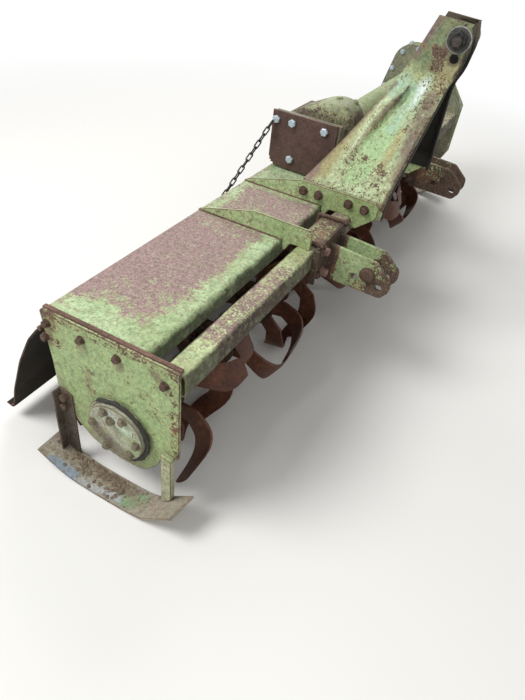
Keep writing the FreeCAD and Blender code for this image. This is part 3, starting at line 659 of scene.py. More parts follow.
DRESSED = (                # material, width of the rounded edge, CAD nodes
    ("deck", 0.0012, ("deck",)),
    ("plate", 0.0016, ("right_end_plate",)),
    ("shaded", 0.0014, ("left_end_plate",)),
    ("shaded", 0.0008, ("chain_case_shell",)),
    ("paint", 0.0012, ("chain_case_cover",)),
    ("bar", 0.0008, ("toolbar",)),
    ("paint", 0.0016, ("outer_rib_right", "outer_rib_left", "inner_rib_right", "inner_rib_left")),
    ("saddle", 0.0016, ("toolbar_clamp_right", "toolbar_clamp_left")),
    ("dark_sheet", 0.0008, ("tailgate_sheet",)),
    ("dark_sheet", 0.001, ("tailgate_knuckles",)),
    ("post", 0.0012, ("skid_front_post_right", "skid_front_post_left")),
    ("dusty_steel", 0.001, ("skid_rear_post_right", "skid_rear_post_left")),
)
PLAIN = {                  # CAD nodes that only take a better material
    "top_link_pin": "dark", "cross_shaft_tube": "tube", "tailgate_hinge_rod": "rust", "rotor_tube": "rotor",
    "rotor_journals": "dark",
}
CHEEK_X = 0.53             # the hitch brackets' cheeks lie outside this
CHEEK_Y = -0.028           # their front edge, shallower than its plain form in the CAD
BORE_R = 0.02005           # of the two bearing hubs
BORE_ROOM = 0.0008         # kept between the worn hubs and the journals

for material, bevel, nodes in DRESSED:
    for node in nodes:
        dressed(node, material, bevel)
for vert in dressed("hitch_brackets", "bracket", 0.0016).data.vertices:
    if abs(vert.co.x) > CHEEK_X and vert.co.y < -0.04:
        vert.co.y = CHEEK_Y
for vert in dressed("bearing_hubs", "hub", 0.0025, "dusty_bolt").data.vertices:
    away = Vector((0, vert.co.y - SHAFT.y, vert.co.z - SHAFT.z))
    if away.length < BORE_R + 0.001:
        vert.co += away.normalized() * BORE_ROOM
for node, material in PLAIN.items():
    data = NODES[node].data
    data.materials.clear()
    data.materials.append(MATERIALS[material])

# Outlines and sheets

def rounded(points, rounds):
    """Cuts the corners of a polyline again and again until it runs smoothly."""
    points = [tuple(point) for point in points]
    for _ in range(rounds):
        cut = [points[0]]
        for a, b in zip(points, points[1:]):
            cut.append(tuple(p * 0.75 + q * 0.25 for p, q in zip(a, b)))
            cut.append(tuple(p * 0.25 + q * 0.75 for p, q in zip(a, b)))
        points = cut + [points[-1]]
    return points


def read_off(points, value):
    """The second number of a table of pairs at a value of the first, with straight lines between."""
    for (a, left), (b, right) in zip(points, points[1:]):
        if value <= b:
            share = 0.0 if b == a else (value - a) / (b - a)
            return left + (right - left) * min(max(share, 0.0), 1.0)
    return points[-1][1]


def ease(value, low, high):
    """Rises smoothly from 0 at low to 1 at high."""
    share = min(max((value - low) / (high - low), 0.0), 1.0)
    return share * share * (3 - 2 * share)


# Mast plates: a pressed sheet with a hollow, bent at its foot and its head

MAST_T = 0.007
FOOT_Z = 0.517             # height of the two bends
HEAD_Z = 0.806
FOOT_BEND_R = 0.012
HEAD_BEND_R = 0.022
MAST_FOOT_X = -0.264       # outer face of the foot
MAST_HEAD_X = -0.05        # outer face of the head
MAST_HEIGHTS = (           # heights of the sheet's rows, closer round the lower hole of the head
    [0.47 + i * 0.0079 for i in range(50)] + [0.864 + i * 0.0035 for i in range(14)]
    + [0.921, 0.931, 0.941, 0.951, 0.96]
)
MAST_COLUMNS = 44
MAST_TOP = (-0.062, 0.98, -0.158, 0.974)       # rear and front corner of the top edge: y, z, y, z
MAST_FRONT = (             # height, y of the front edge
    (0.47, -0.1), (0.56, -0.107), (0.725, -0.128), (0.795, -0.137), (0.815, -0.142), (0.84, -0.153),
    (0.858, -0.158), (0.916, -0.167), (0.955, -0.163), (0.972, -0.158),
)
MAST_REAR = (              # height, y of the rear edge
    (0.47, 0.168), (0.521, 0.168), (0.629, 0.1), (0.762, 0.028), (0.8, 0.012), (0.866, -0.018),
    (0.972, -0.059),
)
HOLLOW = (                 # height, rear edge of the floor, front edge, depth
    (0.56, 0.052, -0.022, 0.0), (0.615, 0.038, -0.027, 0.008), (0.706, 0.001, -0.046, 0.018),
    (0.772, -0.032, -0.056, 0.026), (0.788, -0.038, -0.058, 0.018), (0.8, -0.044, -0.058, 0.0),
)
HOLLOW_START = (0.552, 0.6)                    # heights between which it comes in
REAR_WALL = 0.015
FRONT_WALL = 0.026
RIPPLE = 0.001
RIPPLE_SCALE = 14
FOLD_R = 0.009             # of the folded front edge
LIP = 0.006                # width of the fold at the head, and what is added at the foot
LIP_MORE = 0.012
LIP_FADE = (0.77, 0.815)
LINK_HOLE = Vector((0, -0.132, 0.886))
LINK_HOLE_R = 0.013


def mast_x(z):
    """X of the sheet's outer face at a height; both bends are rounded."""
    slope = (MAST_HEAD_X - MAST_FOOT_X) / (HEAD_Z - FOOT_Z)
    x = MAST_FOOT_X
    for bend, radius, sign in ((FOOT_Z, FOOT_BEND_R, 1), (HEAD_Z, HEAD_BEND_R, -1)):
        past = z - bend
        if past > radius:
            x += sign * slope * past
        elif past > -radius:
            x += sign * slope * (past + radius) ** 2 / (4 * radius)
    return x


def mast_row(z):
    """One row of the sheet, from its rear edge to the folded front edge."""
    slant = math.atan2(MAST_HEAD_X - MAST_FOOT_X, HEAD_Z - FOOT_Z)
    past_foot = ease(z, FOOT_Z - FOOT_BEND_R, FOOT_Z + FOOT_BEND_R)
    past_head = ease(z, HEAD_Z - HEAD_BEND_R, HEAD_Z + HEAD_BEND_R)
    slant *= past_foot - past_head
    rear = read_off(MAST_REAR, z)
    front = read_off(MAST_FRONT, z) + FOLD_R
    floor_rear, floor_front, depth = (read_off([(row[0], row[i]) for row in HOLLOW], z) for i in (1, 2, 3))
    depth *= ease(z, *HOLLOW_START)
    row = []
    for j in range(MAST_COLUMNS + 1):
        y = rear + (front - rear) * j / MAST_COLUMNS
        sunk = depth * ease(y, floor_rear + REAR_WALL, floor_rear)
        sunk *= ease(y, floor_front - FRONT_WALL, floor_front)
        sunk *= 1.0 - 0.45 * min(max((floor_rear - y) / (floor_rear - floor_front), 0.0), 1.0)
        ripple = noise.noise(Vector((y * RIPPLE_SCALE, z * RIPPLE_SCALE, 3.0))) * RIPPLE
        inward = Vector((math.cos(slant), 0, -math.sin(slant))) * (sunk + ripple)
        row.append(Vector((mast_x(z), y, z)) + inward)
    for k in range(1, 5):
        turn = math.pi / 2 * k / 4
        row.append(Vector((mast_x(z) + FOLD_R * (1 - math.cos(turn)), front - FOLD_R * math.sin(turn), z)))
    reach = LIP + LIP_MORE * (1 - ease(z, *LIP_FADE))
    for out in (reach * 0.5, reach):
        row.append(Vector((mast_x(z) + FOLD_R + out, front - FOLD_R, z)))
    return row


def mast_sheet(side):
    rows = [mast_row(z) for z in MAST_HEIGHTS]
    rear_y, rear_z, front_y, front_z = MAST_TOP
    base = rows[-1]
    for share in (0.35, 0.7, 1.0):
        row = []
        for j, point in enumerate(base):
            along = j / MAST_COLUMNS
            top = Vector((point.x, rear_y + (front_y - rear_y) * along, rear_z + (front_z - rear_z) * along))
            if j > MAST_COLUMNS:
                top = Vector((point.x, point.y + (front_y - base[-1].y), front_z))
            row.append(point.lerp(top, share))
        rows.append(row)
    mesh = bmesh.new()
    grid = [[mesh.verts.new(point) for point in row] for row in rows]
    for low, high in zip(grid, grid[1:]):
        for j in range(len(low) - 1):
            face = mesh.faces.new((low[j], low[j + 1], high[j + 1], high[j]))
            face.material_index = 2 if j > MAST_COLUMNS + 1 else 0
    gone = []
    for face in mesh.faces:
        middle = face.calc_center_median()
        if math.hypot(middle.y - LINK_HOLE.y, middle.z - LINK_HOLE.z) < LINK_HOLE_R:
            gone.append(face)
    bmesh.ops.delete(mesh, geom=gone, context="FACES")
    for vert in mesh.verts:
        away = Vector((0, vert.co.y - LINK_HOLE.y, vert.co.z - LINK_HOLE.z))
        if vert.is_boundary and away.length < LINK_HOLE_R * 1.6:
            vert.co.y = LINK_HOLE.y + away.y / away.length * LINK_HOLE_R
            vert.co.z = LINK_HOLE.z + away.z / away.length * LINK_HOLE_R
    if side > 0:
        bmesh.ops.scale(mesh, vec=(-1, 1, 1), verts=mesh.verts)
    bmesh.ops.recalc_face_normals(mesh, faces=mesh.faces)
    mesh.faces.ensure_lookup_table()
    if mesh.faces[len(mesh.faces) // 2].normal.x * side < 0:
        bmesh.ops.reverse_faces(mesh, faces=mesh.faces)
    node = "mast_plate_" + ("left" if side > 0 else "right")
    name = node + "_sheet"
    # the fold's lip and the inner face take the near-black inner material, which is painted shade
    looks = ("mast", "rust_edge", "mast_inner_painted_shade")
    piece = place_piece(name, mesh_data(name, mesh), "frame", looks, 0.0, 50.0)
    thick = piece.modifiers.new("thickness", "SOLIDIFY")
    thick.thickness = MAST_T
    thick.offset = -1
    thick.use_even_offset = True
    thick.material_offset = 2
    thick.material_offset_rim = 1
    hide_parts(node)


mast_sheet(-1)
mast_sheet(1)

# Rotor: bent tines on their flanges

FLANGE_T = 0.01
FLANGE_R = 0.073
FLANGE_IN_R = 0.036
FIRST_FLANGE_X = -1.0
LAST_FLANGE_X = 0.915
FLANGES = [FIRST_FLANGE_X + i * (LAST_FLANGE_X - FIRST_FLANGE_X) / 8 for i in range(9)]
START_TURN = 35            # degrees
TURN_PER_FLANGE = 50
TINE_T = 0.008
TINE_FOLD = ((0.004, 0.0), (0.004, 0.126), (0.02, 0.162), (0.052, 0.184), (0.116, 0.193))
TINE_SIDE = (
    (0.022, 0.044), (0.022, 0.122), (-0.012, 0.176), (-0.04, 0.191), (-0.084, 0.181), (-0.128, 0.15),
    (-0.068, 0.142), (-0.028, 0.104), (-0.022, 0.044),
)
FOLD_TILT = math.radians(36)
TINE_BOLTS = ((-0.011, 0.056), (0.011, 0.062))
TINE_BOLT_R = 0.0085


def blank(outline, axis, low, high):
    """An outline of pairs, swept along x or y, as an object for a cut."""
    form = Form()
    rings = []
    for level in (low, high):
        if axis == "x":
            rings.append([Vector((level, a, b)) for a, b in outline])
        else:
            rings.append([Vector((a, level, b)) for a, b in outline])
    form.rings(rings)
    bmesh.ops.recalc_face_normals(form.mesh, faces=form.mesh.faces)
    made = bpy.data.objects.new("blank", mesh_data("blank", form.mesh))
    bpy.context.scene.collection.objects.link(made)
    return made


def tine_mesh():
    """One tine about the shaft: the bent strip cut to its outline."""
    middle = rounded(TINE_FOLD, 3)
    left, right = [], []
    for i, (x, height) in enumerate(middle):
        before = Vector(middle[max(i - 1, 0)])
        after = Vector(middle[min(i + 1, len(middle) - 1)])
        run = (after - before).normalized()
        left.append((x - run.y * TINE_T / 2, height + run.x * TINE_T / 2))
        right.append((x + run.y * TINE_T / 2, height - run.x * TINE_T / 2))
    strip = blank(left + right[::-1], "y", -0.16, 0.16)
    strip.data.transform(Matrix.Rotation(FOLD_TILT, 4, "X"))
    outline = TINE_SIDE[:1] + tuple(rounded(TINE_SIDE[1:-1], 3)) + TINE_SIDE[-1:]
    cutter = blank(outline, "x", -0.01, 0.14)
    cut = strip.modifiers.new("cut", "BOOLEAN")
    cut.operation = "INTERSECT"
    cut.object = cutter
    cut.solver = "EXACT"
    bpy.context.view_layer.update()
    evaluated = strip.evaluated_get(bpy.context.evaluated_depsgraph_get())
    made = bpy.data.meshes.new_from_object(evaluated)
    for used in (strip, cutter):
        bpy.data.objects.remove(used)
    return made


def rotor_pieces():
    blade = tine_mesh()
    tines = bmesh.new()
    flanges = Form()
    fasteners = Form()
    rng = random.Random(11)
    rim = FLANGE_R - 0.003
    edge = 0.0015
    profile = (
        (0, FLANGE_IN_R), (0, rim), (edge, FLANGE_R), (FLANGE_T - edge, FLANGE_R), (FLANGE_T, rim),
        (FLANGE_T, FLANGE_IN_R),
    )
    for i, flange_x in enumerate(FLANGES):
        turn = math.radians(START_TURN + TURN_PER_FLANGE * i)
        start = Vector((flange_x, SHAFT.y, SHAFT.z))
        flanges.turned(start, RIGHTWARD, profile, 36)
        for k in range(6):
            sign = 1 if k % 2 == 0 else -1
            twist = turn + math.tau / 6 * k
            place = Matrix.Translation(start + Vector((FLANGE_T if sign > 0 else 0, 0, 0)))
            place = place @ Matrix.Rotation(twist + rng.uniform(-0.02, 0.02), 4, "X")
            place = place @ Matrix.Diagonal((sign, 1, 1, 1))
            copy = bmesh.new()
            copy.from_mesh(blade)
            bmesh.ops.transform(copy, matrix=place, verts=copy.verts)
            if sign < 0:
                bmesh.ops.reverse_faces(copy, faces=copy.faces)
            holder = mesh_data("copy", copy)
            tines.from_mesh(holder)
            bpy.data.meshes.remove(holder)
            outward = Vector((sign, 0, 0))
            for across, out in TINE_BOLTS:
                head = place @ Vector((TINE_T * 0.98, across, out))
                fasteners.bolt(head, outward, TINE_BOLT_R, 0.007, rng.uniform(0, 1))
                nut = place @ Vector((-FLANGE_T * 0.98, across, out))
                fasteners.bolt(nut, -outward, TINE_BOLT_R, 0.008, rng.uniform(0, 1))
    bmesh.ops.remove_doubles(tines, verts=tines.verts, dist=1e-6)
    slot = SLOTS["rotor_tine_sets"]
    data = mesh_data("rotor_tines", tines)
    piece = place_piece("rotor_tines", data, "rotor", ("tine", "tine_edge"), 0.001, 32.0)
    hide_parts("rotor_tine_sets")
    flanges.piece("rotor_flanges", "rotor", slot, ("rotor",), 0.0, 35.0)
    fasteners.piece("rotor_bolts", "rotor", slot, ("rotor",), 0.0, 30.0)


rotor_pieces()

# Bolts

rng = random.Random(7)


def bolts(name, places, axis, radius, height, material, washer=0.0, mirror=False):
    form = Form()
    for place in places:
        form.bolt(Vector(place), axis, radius, height, rng.uniform(0, 1), washer)
    form.piece(name, "frame", "rusty_steel", (material,), 0.0, 30.0, mirror)


def at_x(x, places):
    """Places given by y and z, at one x."""
    return [(x, y, z) for y, z in places]


END_BOLTS = ((0.35, 0.431), (0.361, 0.388), (0.254, 0.43), (0.157, 0.427), (0.035, 0.417))
POST_BOLTS = ((0.328, 0.194), (0.326, 0.222))
FOOT_BOLTS = ((0.155, 0.492), (0.104, 0.492), (0.005, 0.495), (-0.047, 0.493))
COVER_BOLTS = ((0.35, 0.621), (0.293, 0.621), (0.18, 0.622), (0.286, 0.505))
HUB_BOLTS = [(math.radians(turn), 0.063) for turn in (4, 65, 116, 182, 228, 295)] + [(1.39, 0.04)]
CAP_BOLTS = [
    (SHAFT.y + reach * math.cos(turn), SHAFT.z + reach * math.sin(turn)) for turn, reach in HUB_BOLTS
]
BRACKET_BOLTS = ((-0.49, -0.02, 0.447), (-0.474, -0.02, 0.373))
bolts("end_plate_bolts", at_x(END_X, END_BOLTS), LEFTWARD, 0.0092, 0.009, "bolt", 0.0108)
bolts("rear_post_bolts", at_x(END_X - 0.005, POST_BOLTS), LEFTWARD, 0.011, 0.011, "bolt", 0.013, True)
bolts("mast_foot_bolts", at_x(-0.272, FOOT_BOLTS), LEFTWARD, 0.012, 0.011, "bolt", 0.0148, True)
bolts("side_cover_bolts", at_x(-0.112, COVER_BOLTS), LEFTWARD, 0.013, 0.01, "zinc")
bolts("hub_cap_bolts", at_x(END_X - 0.02, CAP_BOLTS), LEFTWARD, 0.0095, 0.009, "dusty_bolt", 0.012)
bolts("bracket_bolts", BRACKET_BOLTS, FORWARD, 0.0125, 0.014, "highlit_bolt", 0.016, True)

# Top link pin: washers, castle nut and pin end

WASHER_RIM = (
    (0, 0.032), (0.0008, 0.034), (0.005, 0.034), (0.006, 0.0332), (0.006, 0.0314), (0.0046, 0.0302),
)
WASHER_FACE = ((0.004, 0.0303), (0.0052, 0.0301))
NUT = ((0, 0.0225), (0.001, 0.024), (0.012, 0.024), (0.0135, 0.021))
NUT_SPIN = 0.3
CROWN = ((0, 0.0052), (0.007, 0.0052), (0.0085, 0.004))
CROWN_R = 0.0158
HEAD_OUT = 0.05            # from the middle to the outer face of either head
PIN_END = ((0, 0.011), (0.011, 0.011), (0.013, 0.009))
PIN_HEAD = ((0, 0.021), (0.01, 0.022), (0.014, 0.019))

washers = Form()
faces = Form()
for side in (LEFTWARD, RIGHTWARD):
    washers.turned(TOP_PIN + side * HEAD_OUT, side, WASHER_RIM, 48)
    faces.turned(TOP_PIN + side * HEAD_OUT, side, WASHER_FACE, 48)
washers.piece("top_link_washers", "frame", "dark_steel", ("washer",), 0.0, 30.0)
faces.piece("top_link_washer_faces", "frame", "dark_steel", ("washer_face",), 0.0, 30.0)
pin = Form()
pin.turned(TOP_PIN + LEFTWARD * 0.055, LEFTWARD, NUT, 6, NUT_SPIN)
crown_u, crown_v = outside(LEFTWARD)
for k in range(6):
    turn = math.tau * (k + 0.5) / 6 + NUT_SPIN
    away = (crown_u * math.cos(turn) + crown_v * math.sin(turn)) * CROWN_R
    pin.turned(TOP_PIN + LEFTWARD * 0.067 + away, LEFTWARD, CROWN, 8, turn)
pin.turned(TOP_PIN + LEFTWARD * 0.066, LEFTWARD, PIN_END, 24)
pin.turned(TOP_PIN + RIGHTWARD * 0.055, RIGHTWARD, PIN_HEAD, 24)
pin.piece("top_link_nut", "frame", "dark_steel", ("black",), 0.0, 30.0)

# Lower link pins with their heads

LINK_HEAD = ((0, 0.02), (0.001, 0.0215), (0.008, 0.0215), (0.011, 0.0195), (0.013, 0.015), (0.014, 0.008))
LINK_SHANK = ((0, 0.014), (0.084, 0.014), (0.086, 0.012))
link = Form()
link.turned(LINK_PIN, LEFTWARD, LINK_HEAD, 32)
link.turned(LINK_PIN, RIGHTWARD, LINK_SHANK, 32)
link_piece = link.piece("lower_link_pins", "frame", "dark_steel", ("bolt",), 0.0, 35.0, True)
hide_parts("hitch_pins")

# U-bolts round the toolbar

U_BOLT = (                 # y and z of the bent rod
    (-0.034, 0.474), (0.06, 0.474), (0.064, 0.47), (0.064, 0.386), (0.06, 0.382), (-0.034, 0.382),
)
for name, x in (("u_bolts_outer", -0.515), ("u_bolts_inner", -0.345)):
    form = Form()
    form.rod(rounded(at_x(x, U_BOLT), 3), 0.006)
    for z in (0.474, 0.382):
        form.bolt(Vector((x, -0.02, z)), FORWARD, 0.0115, 0.01, rng.uniform(0, 1))
    form.piece(name, "frame", "rusty_steel", ("bolt",), 0.0, 35.0, True)

# Chain from the side cover to the tailgate

CHAIN_LINKS = 20
CHAIN_SAG = 0.006
LINK_STRAIGHT = 0.0082     # from a link's middle to the middle of its bend
LINK_BEND = 0.0064
LINK_WIRE = 0.0025

chain = Form()
run = CHAIN_END - CHAIN_TOP
along = run.normalized()
chain_u, chain_v = outside(along)
for i in range(CHAIN_LINKS):
    spot = CHAIN_TOP + run * ((i + 0.5) / CHAIN_LINKS)
    spot.z -= CHAIN_SAG * math.sin(math.pi * (i + 0.5) / CHAIN_LINKS)
    turn = math.radians(45 + 90 * (i % 2)) + rng.uniform(-0.15, 0.15)
    across = chain_u * math.cos(turn) + chain_v * math.sin(turn)
    path = []
    for k in range(18):
        angle = math.tau * (k + 0.5) / 18
        shift = math.copysign(LINK_STRAIGHT, math.cos(angle)) + LINK_BEND * math.cos(angle)
        path.append(spot + along * shift + across * (LINK_BEND * math.sin(angle)))
    chain.rod(path, LINK_WIRE, 7, True)
bmesh.ops.remove_doubles(chain.mesh, verts=chain.mesh.verts, dist=1e-6)
bmesh.ops.recalc_face_normals(chain.mesh, faces=chain.mesh.faces)
links = new_object("tailgate_chain_links", mesh_data("tailgate_chain_links", chain.mesh), ("dark",), 60.0)
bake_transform(links)
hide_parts("tailgate_chain")

# Weld beads

rng = random.Random(5)
rib_beads = Form()
for x in (-0.536, -0.526, -0.273, -0.263):
    rib_beads.bead(Vector((x, 0.1, DECK_TOP)), Vector((x, 0.362, DECK_TOP)), 0.0036, rng)
rib_beads.piece("rib_weld_beads", "frame", "green_paint", ("rust",), 0.0, 60.0, True)
beads = Form()
for x in (-0.453, -0.439, -0.381, -0.367):
    beads.bead(Vector((x, -0.02, 0.35)), Vector((x, -0.02, 0.452)), 0.003, rng)
beads.bead(Vector((END_X - 0.011, 0.008, 0.2)), Vector((END_X - 0.011, 0.04, 0.208)), 0.004, rng)
beads.piece("weld_beads", "frame", "green_paint", ("bracket",), 0.0, 60.0, True)

strip = Form()
strip.bar((END_X + 0.0085, 0.002, DECK_TOP - 0.002), (END_X + 0.02, DECK_REAR, DECK_TOP + 0.0035))
strip.piece("end_plate_strip", "frame", "green_paint", ("rust_edge", "rust"), 0.0012, 40.0)

# Grease pressed out round the hub

HUB_FACE_X = END_X - 0.0085
GREASE_R = 0.0855
GREASE_STEPS = 60

grease = Form()
rings = []
for i in range(GREASE_STEPS + 1):
    turn = math.radians(48 + 232 * i / GREASE_STEPS)
    fade = 0.35 + 0.65 * (ease(i, -1, 6) * ease(i, GREASE_STEPS + 1, 54))
    reach = GREASE_R + noise.noise(Vector((i * 0.23, 1.0, 0.0))) * 0.004
    wide = (0.007 + noise.noise(Vector((i * 0.31, 5.0, 0.0))) * 0.0035) * fade
    high = (0.0045 + noise.noise(Vector((i * 0.47, 9.0, 0.0))) * 0.002) * fade
    out = Vector((0, math.cos(turn), math.sin(turn)))
    middle = Vector((HUB_FACE_X, SHAFT.y, SHAFT.z)) + out * reach
    rings.append(circle(middle, out * wide, LEFTWARD * high, 1.0, 10))
grease.rings(rings)
grease.piece("hub_grease", "frame", "grey_green_paint", ("grease",), 0.0, 60.0)

# Skids with the soil and straw on them

SKID_OUT = END_X - 0.072
SKID_IN = END_X + 0.004
SKID_HALF_T = 0.003
SKID_LIFT = 0.014          # of the outer front corner
SKID_BENDS = ((0.383, 0.052), (0.33, 0.024), (0.262, 0.003), (0.07, 0.003), (0.024, 0.04), (-0.042, 0.092))
SKID_LINE = sorted(rounded(SKID_BENDS, 3))     # y and z of the middle of its thickness
SKID_CRUMBS = 220
HUB_CRUMBS = 36
STRAWS = 34
STRAW_R = 0.0008
STRAW_STEP = 0.0055


def skid_top(y):
    """Height of the skid's upper face."""
    return read_off([(low_y, low_z + SKID_HALF_T) for low_y, low_z in SKID_LINE], y)


def lump(form, size, detail, seed, stretch, place):
    """A crumb of soil about a place."""
    ball = bmesh.ops.create_icosphere(form.mesh, subdivisions=detail, radius=size)
    for vert in ball["verts"]:
        swell = 1.0 + noise.noise(vert.co * 260 + seed) * 0.9
        vert.co = Vector([value * swell * pull for value, pull in zip(vert.co, stretch)])
        vert.co += place


skid = Form()
under, over = [], []
for i, (y, z) in enumerate(SKID_LINE):
    before = Vector(SKID_LINE[max(i - 1, 0)])
    after = Vector(SKID_LINE[min(i + 1, len(SKID_LINE) - 1)])
    run = (after - before).normalized()
    under.append((y + run.y * SKID_HALF_T, z - run.x * SKID_HALF_T))
    over.append((y - run.y * SKID_HALF_T, z + run.x * SKID_HALF_T))
rings = []
for share in (0.0, 0.15, 0.5, 0.85, 1.0):
    x = SKID_IN + (SKID_OUT - SKID_IN) * share
    ring = []
    for y, z in under + over[::-1]:
        slant = SKID_LIFT * share * ease(y, 0.0, -0.042)
        wave = noise.noise(Vector((y * 9, share * 2, 4.0))) * 0.0012
        ring.append(Vector((x, y + slant, z + wave + slant * -0.7)))
    rings.append(ring)
skid.rings(rings)
skid_piece = skid.piece("skids_worn", "frame", "worn_skid", ("skid", "rust_edge"), 0.0014, 40.0, True)
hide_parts("skid_right", "skid_left")

rng = random.Random(3)
soil = Form()
for i in range(SKID_CRUMBS):
    y = rng.choice((rng.gauss(0.3, 0.028), rng.gauss(0.23, 0.06), rng.gauss(0.15, 0.035)))
    y = min(max(y, 0.05), 0.365)
    x = END_X - 0.004 - abs(rng.gauss(0.0, 0.024))
    size = rng.uniform(0.0014, 0.0036) * rng.uniform(0.7, 1.3)
    flat = rng.uniform(0.45, 0.8)
    place = Vector((max(x, SKID_OUT + 0.008), y, skid_top(y) + size * flat * 0.3))
    lump(soil, size, 1 if size < 0.003 else 2, Vector((i, 0, 0)), (1.3, 1.5, flat), place)
for i in range(HUB_CRUMBS):
    turn = rng.uniform(math.radians(170), math.radians(330))
    reach = rng.uniform(0.074, 0.086)
    size = rng.uniform(0.0015, 0.004)
    place = Vector((HUB_FACE_X, SHAFT.y + reach * math.cos(turn), SHAFT.z + reach * math.sin(turn)))
    lump(soil, size, 1, Vector((i, 7, 0)), (1.0, 1.0, 1.0), place)
soil.piece("skid_soil", "frame", "worn_skid", ("soil",), 0.0, 50.0, True)
straw = Form()
for i in range(STRAWS):
    y = min(max(rng.gauss(0.235, 0.055), 0.12), 0.34)
    x = END_X - 0.01 - abs(rng.gauss(0.0, 0.018))
    turn = rng.uniform(0, math.tau)
    path = []
    for k in range(6):
        turn += rng.uniform(-0.45, 0.45)
        path.append((x, y, skid_top(y) + 0.0014 + 0.003 * math.sin(math.pi * k / 5)))
        x = min(max(x + STRAW_STEP * math.cos(turn), SKID_OUT + 0.006), END_X - 0.004)
        y += STRAW_STEP * math.sin(turn)
    straw.rod(path, STRAW_R, 5)
straw.piece("skid_straw", "frame", "worn_skid", ("straw",), 0.0, 60.0, True)

# Gearbox: domed casting, body, rim and nose

DOME_EDGE = (
    (0.108, 0.6), (0.116, 0.656), (0.146, 0.69), (0.208, 0.695), (0.273, 0.664), (0.334, 0.634), (0.336, 0.6),
)
DOME_MIDDLE = Vector((0.222, 0.6))
DOME_SIDES = (             # x, how far the outline is drawn in
    (-0.062, 0.014), (-0.059, 0.006), (-0.05, 0.0), (0.05, 0.0), (0.059, 0.006), (0.062, 0.014),
)
NOSE = (
    (0, 0.062), (0.018, 0.062), (0.022, 0.058), (0.026, 0.046), (0.036, 0.044), (0.036, 0.034),
    (0.032, 0.033),
)
NOSE_BOLT_R = 0.052
FLANGE_TOP = DECK_TOP + 0.012

dome = Form()
rings = []
for x, inset in DOME_SIDES:
    ring = []
    for y, z in rounded(DOME_EDGE, 3):
        away = Vector((y, z)) - DOME_MIDDLE
        away *= 1.0 - inset / max(away.length, 0.02)
        ring.append(Vector((x, DOME_MIDDLE.x + away.x, DOME_MIDDLE.y + away.y)))
    rings.append(ring)
dome.rings(rings)
dome.bolt(Vector((0.012, 0.196, 0.692)), UPWARD, 0.0095, 0.006, 0.2, 0.013)
for x in (-0.04, 0.04):
    dome.bolt(Vector((x, 0.15, 0.686)), Vector((0, -0.5, 0.86)), 0.0095, 0.007, 0.4)
dome_piece = dome.piece("gearbox_dome", "frame", "green_paint", ("casting",), 0.0, 50.0)
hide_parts("gearbox_housing")
body = Form()
body.bar((-0.086, 0.128, DECK_TOP + 0.01), (0.1, 0.33, 0.64))
body.bar((-0.1, 0.14, DECK_TOP), (0.1, 0.356, FLANGE_TOP))
body.piece("gearbox_body", "frame", "green_paint", ("casting", "shaded"), 0.008, 40.0)
rim = Form()
rim.bar((-0.104, 0.128, FLANGE_TOP), (-0.084, 0.362, 0.646))
rim.piece("gearbox_rim", "frame", "green_paint", ("shaded", "rust_edge"), 0.004, 40.0)
nose = Form()
nose.turned(Vector((0, 0.132, DRIVE_Z)), FORWARD, NOSE, 48)
for k in range(6):
    turn = math.tau * k / 6 + 0.3
    spot = Vector((NOSE_BOLT_R * math.cos(turn), 0.112, DRIVE_Z + NOSE_BOLT_R * math.sin(turn)))
    nose.bolt(spot, FORWARD, 0.0075, 0.006, turn)
for x in (-0.09, 0.09):
    for y in (0.15, 0.345):
        nose.bolt(Vector((x, y, FLANGE_TOP)), UPWARD, 0.012, 0.009, y, 0.0165)
nose.piece("gearbox_nose", "frame", "green_paint", ("shaded",), 0.0, 32.0)

# Side cover with its rusted corner

COVER_EDGE = (
    (0.14, 0.648), (0.366, 0.648), (0.366, 0.498), (0.361, 0.492), (0.364, 0.486), (0.356, 0.484),
    (0.358, 0.476), (0.349, 0.481), (0.345, 0.472), (0.338, 0.478), (0.331, 0.47), (0.322, 0.476),
    (0.318, 0.468), (0.3, 0.469), (0.14, 0.466),
)
cover = Form()
cover.rings([[Vector(point) for point in at_x(x, COVER_EDGE)] for x in (-0.112, -0.104)])
plate = cover.piece("side_cover_plate", "frame", "brown_rust_plate", ("cover", "worn_edge"), 0.001, 40.0)
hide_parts("gearbox_side_cover")

# Input shaft with its splines

SPLINE_R = 0.0175
ROOT_R = 0.0148
SHOULDER_R = 0.022
SHAFT_STEPS = (            # y, radius over the splines, radius between them
    (0.03, 0.015, 0.014), (0.0325, SPLINE_R, ROOT_R), (0.044, SPLINE_R, ROOT_R), (0.0445, ROOT_R, ROOT_R),
    (0.05, ROOT_R, ROOT_R), (0.0505, SPLINE_R, ROOT_R), (0.074, SPLINE_R, ROOT_R),
    (0.076, SPLINE_R, SPLINE_R), (0.078, 0.0205, 0.0205), (0.079, SHOULDER_R, SHOULDER_R),
    (0.11, SHOULDER_R, SHOULDER_R),
)
shaft = Form()
rings = []
for y, outer, root in SHAFT_STEPS:
    ring = []
    for k in range(72):
        turn = math.tau * k / 72
        radius = outer if k % 12 < 6 else root
        ring.append(Vector((radius * math.cos(turn), y, DRIVE_Z + radius * math.sin(turn))))
    rings.append(ring)
shaft.rings(rings)
shaft_piece = shaft.piece("input_shaft_splined", "input_shaft", "dark_steel", ("dark",), 0.0, 35.0)
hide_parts("input_shaft")

# Chain case: rim bolts

